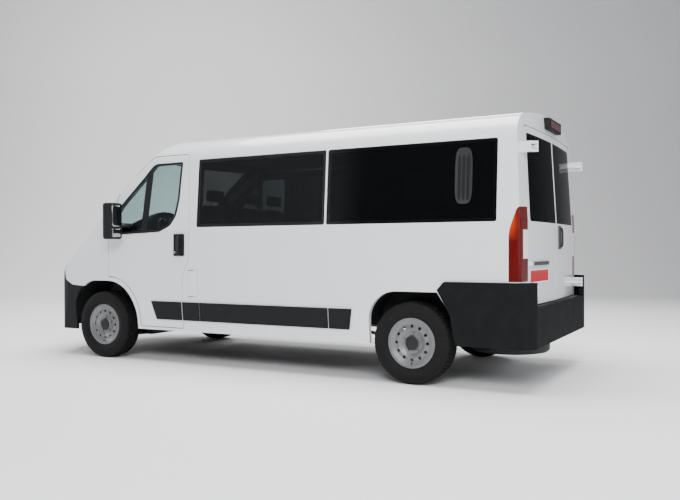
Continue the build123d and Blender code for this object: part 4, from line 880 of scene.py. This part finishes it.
def cab_door_trim(side_name, side):
    """A cab door's window seal, pull grip and lock."""
    door = f"cab_door_{side_name}"
    pane = skin(f"cab_glass_{side_name}", 1, side, PANE_PLACES)
    piece(f"cab_window_seal_{side_name}", seal(CAB_PANE, SEAL_STEPS, pane, 1, side), door, SEAL_RUBBER)
    on_plate = skin(f"cab_fittings_{side_name}", 1, side, lattice(*CAB_PLATE))
    grip = pull_grip(on_plate, 1, side, *CAB_GRIP)
    piece(f"cab_door_grip_{side_name}", grip, door, HUB_BLACK)
    place = (LOCK_X, float(on_plate(LOCK_X, LOCK_Z)) - side * LOCK_SINK, LOCK_Z)
    piece(f"cab_door_lock_{side_name}", lathe(LOCK_STEPS, 24, place, side), door, BRIGHT_STEEL)


def windscreen_band():
    """The printed black border round the windscreen."""
    screen = skin("windscreen", 0, 1.0, SCREEN_PLACES)
    band = seal(SCREEN, BAND_STEPS, screen, 0, 1.0, reach=4)
    piece("windscreen_band", band, "body", SEAL_RUBBER)


def door_grips():
    """Pull grips of the sliding door and of the right rear door."""
    on_slide = skin("side_mouldings", 1, -1.0, lattice(*SLIDE_PLATE))
    grip = pull_grip(on_slide, 1, -1.0, *SLIDE_GRIP)
    piece("sliding_door_grip", grip, "body", HUB_BLACK)
    on_tail = skin("rear_fittings_right", 0, -1.0, lattice(*TAIL_PLATE))
    grip = pull_grip(on_tail, 0, -1.0, *TAIL_GRIP)
    piece("rear_door_grip", grip, "rear_door_right", HUB_BLACK)


for side_facts in SIDES:
    mirror_glasses(*side_facts)
for side_facts in SIDES:
    cab_door_trim(*side_facts)
windscreen_band()
door_grips()

# ------------------------------------------------------------------ plates, vent, flap and lenses on the body
# QUARTER_VENT, FLAP and BRAKE_LENS are, as PLATE is, both places of the middle, half width, half height.
# The height of what carries each of them is read over its span.
PLATE_SPAN = ((0.27, 0.79), (0.82, 0.96))
PLATE_STEPS = ((0.001, 0.0), (0.0, 0.0010), (0.0, 0.0050), (0.0010, 0.0060), (0.0060, 0.0060),
               (0.0075, 0.0052), (0.0300, 0.0052))
QUARTER_VENT, QUARTER_VENT_SPAN = (-2.143, 1.694, 0.072, 0.224), ((-2.25, -2.04), (1.45, 1.94))
QUARTER_VENT_STEPS = ((0.001, 0.0), (0.0, 0.001), (0.0, 0.004), (0.001, 0.005), (0.008, 0.005),
                      (0.010, 0.003), (0.030, 0.003))
BAR_OFFSETS, BAR_Z, BAR_LIFT, BAR_HALF = (-0.036, 0.0, 0.036), (1.500, 1.868), 0.005, (0.011, 0.004)
FLAP, FLAP_SPAN = (0.570, 0.787, 0.066, 0.124), ((0.515, 0.625), (0.67, 0.90))
FLAP_STEPS = ((0.0012, -0.0005), (0.0012, 0.0002), (0.0020, 0.0009), (0.0300, 0.0010))
FLAP_GAP_STEPS = ((-0.0050, -0.0010), (-0.0050, 0.0004), (0.0010, 0.0004), (0.0010, -0.0010))
BRAKE_LENS, BRAKE_SPAN = (0.0, 2.179, 0.185, 0.030), ((-0.19, 0.19), (2.145, 2.212))
BRAKE_STEPS = ((0.003, 0.0), (0.0, 0.0009), (0.0, 0.003), (0.0009, 0.0051), (0.003, 0.006), (0.009, 0.006))
COOLER, COOLER_EDGE = ((2.520, -0.500, 0.285), (2.550, 0.500, 0.479)), 0.006   # low and high corner


def rear_plate():
    """The blank plate on the left rear door."""
    on_door = skin("rear_door_left", 0, -1.0, lattice(*PLATE_SPAN))
    plate = plate_on(on_door, 0, -1.0, PLATE, PLATE_STEPS, 14.0)
    piece("rear_plate_blank", plate, "rear_door_left", PLATE_FINISH)


def quarter_vent():
    """A dished vent on the rear side pane, with three upright bars that are rods with rounded ends."""
    on_pane = skin("side_glass", 1, 1.0, lattice(*QUARTER_VENT_SPAN))
    plate = plate_on(on_pane, 1, 1.0, QUARTER_VENT, QUARTER_VENT_STEPS, 4.0)
    piece("quarter_vent_plate", plate, "body", VENT_GREY)
    bars = []
    for offset in BAR_OFFSETS:
        line = np.column_stack([np.full(15, QUARTER_VENT[0] + offset), np.linspace(*BAR_Z, 15),
                                np.full(15, BAR_LIFT)])
        bars.append(rounded_rod(laid_on(line, on_pane, 1, 1.0), *BAR_HALF, (1, 0, 0), 14, 4.0))
    piece("quarter_vent_bars", joined(bars), "body", TRIM)


def fuel_flap():
    """The painted flap on the left side, inside a dark line for its gap."""
    on_side = skin("side_panel_left", 1, 1.0, lattice(*FLAP_SPAN))
    x, z, half_x, half_z = FLAP
    corners = [(x + a * half_x, z + b * half_z) for a, b in ((-1, -1), (1, -1), (1, 1), (-1, 1))]
    gap = seal(corners, FLAP_GAP_STEPS, on_side, 1, 1.0, reach=1)
    piece("fuel_flap_gap", gap, "body", SEAL_RUBBER)
    piece("fuel_flap", plate_on(on_side, 1, 1.0, FLAP, FLAP_STEPS, 14.0), "body", PAINTED)


def brake_lens():
    """The high brake lamp's smoked lens."""
    on_brake = skin("brake_lamp", 0, -1.0, lattice(*BRAKE_SPAN))
    lens = plate_on(on_brake, 0, -1.0, BRAKE_LENS, BRAKE_STEPS, 8.0)
    piece("high_brake_lens", lens, "body", SMOKED_RED)


def lower_cooler():
    """A plain cooler behind the lower grille, below the front beam."""
    piece("lower_cooler", boxed(*COOLER, COOLER_EDGE), "body", HUB_BLACK)


rear_plate()
quarter_vent()
fuel_flap()
brake_lens()
lower_cooler()

# ------------------------------------------------------------------ inside the headlamps
HEADLAMP = ((0.600, 0.945), (0.880, 0.985), (0.975, 1.090), (0.985, 1.250), (0.900, 1.205), (0.640, 1.050))
LENS_PLACES = ((0.66, 0.98), (0.66, 1.02), (0.66, 1.05), (0.76, 0.98), (0.76, 1.04), (0.76, 1.09),
               (0.86, 1.00), (0.86, 1.08), (0.86, 1.16), (0.94, 1.08), (0.94, 1.16), (0.94, 1.21))
DISH = ((0.97, 0.012), (0.90, 0.050), (0.60, 0.058), (0.05, 0.058), (0.05, 0.064), (0.60, 0.064),
        (0.93, 0.056))   # share of the outline, and depth behind the lens
DISH_FROM_X = 1.93   # the dish follows the lens no further back than this
BOWLS = (("main_beam", 0.710, 1.010, 0.036, 0.040), ("dip_beam", 0.800, 1.065, 0.050, 0.045),
         ("indicator", 0.895, 1.140, 0.036, 0.034))   # y, z, radius, depth
BOWL_STEPS = ((1.0, 0.0), (0.96, 0.0), (0.90, 0.35), (0.70, 0.72), (0.35, 0.96), (0.36, 1.02), (0.74, 0.78),
              (0.95, 0.36))   # share of the radius, and of the depth
BOWL_SET_BACK, BULB_FROM, BULB_L, BULB_R = 0.030, 0.95, 0.034, 0.009


def headlamp_housing(side_name, side, lens_face):
    """A dish behind the lens: the lamp's outline, scaled about its middle and set back in steps."""
    loop = smooth_loop(HEADLAMP) * np.array([side, 1.0])
    heart = loop.mean(0)
    rings = []
    for scale, depth in DISH:
        y, z = (heart + (loop - heart) * scale).T
        rings.append(np.stack([np.maximum(lens_face(y, z), DISH_FROM_X) - depth, y, z], -1))
    housing = closed_form(np.stack(rings))
    piece(f"headlamp_housing_{side_name}", housing, "body", HUB_BLACK)


def headlamp_bowl(side_name, lens_face, name, y, z, radius, depth):
    """A lathed bowl that opens forward, and its bulb, a rod with rounded ends."""
    x = float(lens_face(y, z)) - BOWL_SET_BACK
    bowl = lathe([(radius * wide, -depth * deep) for wide, deep in BOWL_STEPS], 40)
    piece(f"headlamp_{name}_{side_name}", along_x(bowl, x, y, z, 1.0), "body",
          AMBER_LENS if name == "indicator" else REFLECTOR)
    start = x - depth * BULB_FROM
    line = np.linspace((start, y, z), (start + BULB_L, y, z), 8)
    bulb = rounded_rod(line, BULB_R, BULB_R, (0, 1, 0), 16)
    piece(f"headlamp_{name}_bulb_{side_name}", bulb, "body", BRIGHT_STEEL)


for side_name, side in SIDES:
    lens_face = skin("headlamps", 0, 1.0, [(side * y, z) for y, z in LENS_PLACES])
    headlamp_housing(side_name, side, lens_face)
    for name, y, *bowl_facts in BOWLS:
        headlamp_bowl(side_name, lens_face, name, side * y, *bowl_facts)

# ------------------------------------------------------------------ studio
CAMERA_PLACE = (-4.172, 6.722, 1.125)
CAMERA_YAW, CAMERA_PITCH, CAMERA_ROLL = radians(61.3), radians(-0.16), radians(-0.18)
CAMERA_LENS, SENSOR = 40.19, 36.0   # millimetres
LOOK, ACROSS = (0.480, -0.877), (0.877, 0.480)   # along the floor, the way the camera looks, and across it
SWEEP_REACH, SWEEP_BEND, SWEEP_TOP, SWEEP_HALF_W = 24.0, 7.0, 22.0, 45.0
AIR, AIR_STRENGTH = (0.80, 0.82, 0.86, 1.0), 0.33
SOFTBOXES = (   # place, aim, size, watts, colour
    ("roof_softbox", (-0.5, 0.5, 7.5), (-0.5, 0.3, 0.8), (9.0, 5.0), 1150.0, (1.0, 1.0, 1.0)),
    ("left_softbox", (-5.0, 8.0, 5.5), (-1.0, 0.5, 1.0), (5.0, 3.0), 780.0, (0.985, 0.99, 1.0)),
    ("rear_softbox", (-9.5, 0.0, 3.5), (-1.5, 0.0, 1.0), (4.0, 3.0), 200.0, (0.97, 0.985, 1.0)),
    ("nose_softbox", (9.0, 3.0, 3.6), (1.5, 0.0, 1.0), (4.0, 3.0), 210.0, (1.0, 1.0, 1.0)),
    ("right_softbox", (1.0, -7.0, 6.0), (0.0, 0.0, 1.0), (6.0, 3.0), 330.0, (1.0, 1.0, 1.0)),
    ("backdrop_softbox", (7.5, -3.5, 8.5), (10.5, -10.5, 2.0), (8.0, 3.0), 850.0, (1.0, 1.0, 1.0)),
)


def paper():
    """Pale studio paper, faintly cloudy."""
    m = Maker("studio_paper")
    return m.finish(Base_Color=m.mix(m.noise(0.35, 2.0) * 0.25, (0.86, 0.86, 0.865), (0.81, 0.81, 0.82)),
                    Roughness=0.75, Specular_IOR_Level=0.25)


def studio_sweep():
    """Floor and backdrop in one: flat, then a quarter circle up, then a wall, carried across the view.

    Point (a, b) lies a along the way the camera looks and b across it.
    """
    flat = [(a, 0.0) for a in (-40.0, -20.0, -5.0, 0.0, 5.0, 9.0, 13.0)]
    curve = [(SWEEP_REACH - SWEEP_BEND + SWEEP_BEND * sin(q), SWEEP_BEND - SWEEP_BEND * cos(q))
             for q in np.linspace(0, pi / 2, 33)]
    profile = np.array(flat + curve + [(SWEEP_REACH, SWEEP_TOP)])
    b = np.linspace(-SWEEP_HALF_W, SWEEP_HALF_W, 10)
    start, look, across = np.array(CAMERA_PLACE[:2]), np.array(LOOK), np.array(ACROSS)
    ground = start + profile[:, :1, None] * look + b[None, :, None] * across
    height = profile[:, 1][:, None] + 0 * b
    grid = np.concatenate([ground, height[..., None]], -1)
    faces = grid_faces(len(profile), len(b))[:, ::-1]
    mesh = bpy.data.meshes.new("studio_sweep")
    mesh.from_pydata(grid.reshape(-1, 3).tolist(), [], faces.tolist())
    mesh.polygons.foreach_set("use_smooth", np.ones(len(mesh.polygons), bool))
    mesh.materials.append(paper())
    sweep = bpy.data.objects.new("studio_sweep", mesh)
    bpy.context.scene.collection.objects.link(sweep)


def softbox(name, place, target, size, power, colour):
    """A rectangular area light, aimed at a point."""
    light = bpy.data.lights.new(name, "AREA")
    light.shape, light.size, light.size_y = "RECTANGLE", size[0], size[1]
    light.energy, light.color = power, colour
    lamp = bpy.data.objects.new(name, light)
    lamp.location = place
    lamp.rotation_euler = (Vector(target) - Vector(place)).to_track_quat("-Z", "Y").to_euler()
    bpy.context.scene.collection.objects.link(lamp)


def studio_air():
    """Even, faintly cool light from all around."""
    world = bpy.data.worlds.new("studio_air")
    world.use_nodes = True
    background = world.node_tree.nodes["Background"]
    background.inputs["Color"].default_value = AIR
    background.inputs["Strength"].default_value = AIR_STRENGTH
    bpy.context.scene.world = world


def studio_camera():
    """The scene's camera, turned by yaw, pitch and roll."""
    lens = bpy.data.cameras.new("studio_camera")
    lens.lens, lens.sensor_width, lens.sensor_fit = CAMERA_LENS, SENSOR, "HORIZONTAL"
    camera = bpy.data.objects.new("studio_camera", lens)
    level = cos(CAMERA_PITCH)
    forward = Vector((cos(CAMERA_YAW) * level, -sin(CAMERA_YAW) * level, sin(CAMERA_PITCH)))
    aim = forward.to_track_quat("-Z", "Y").to_matrix() @ Matrix.Rotation(CAMERA_ROLL, 3, "Z")
    camera.location = CAMERA_PLACE
    camera.rotation_euler = aim.to_euler()
    bpy.context.scene.collection.objects.link(camera)
    bpy.context.scene.camera = camera


studio_sweep()
for softbox_facts in SOFTBOXES:
    softbox(*softbox_facts)
studio_air()
studio_camera()
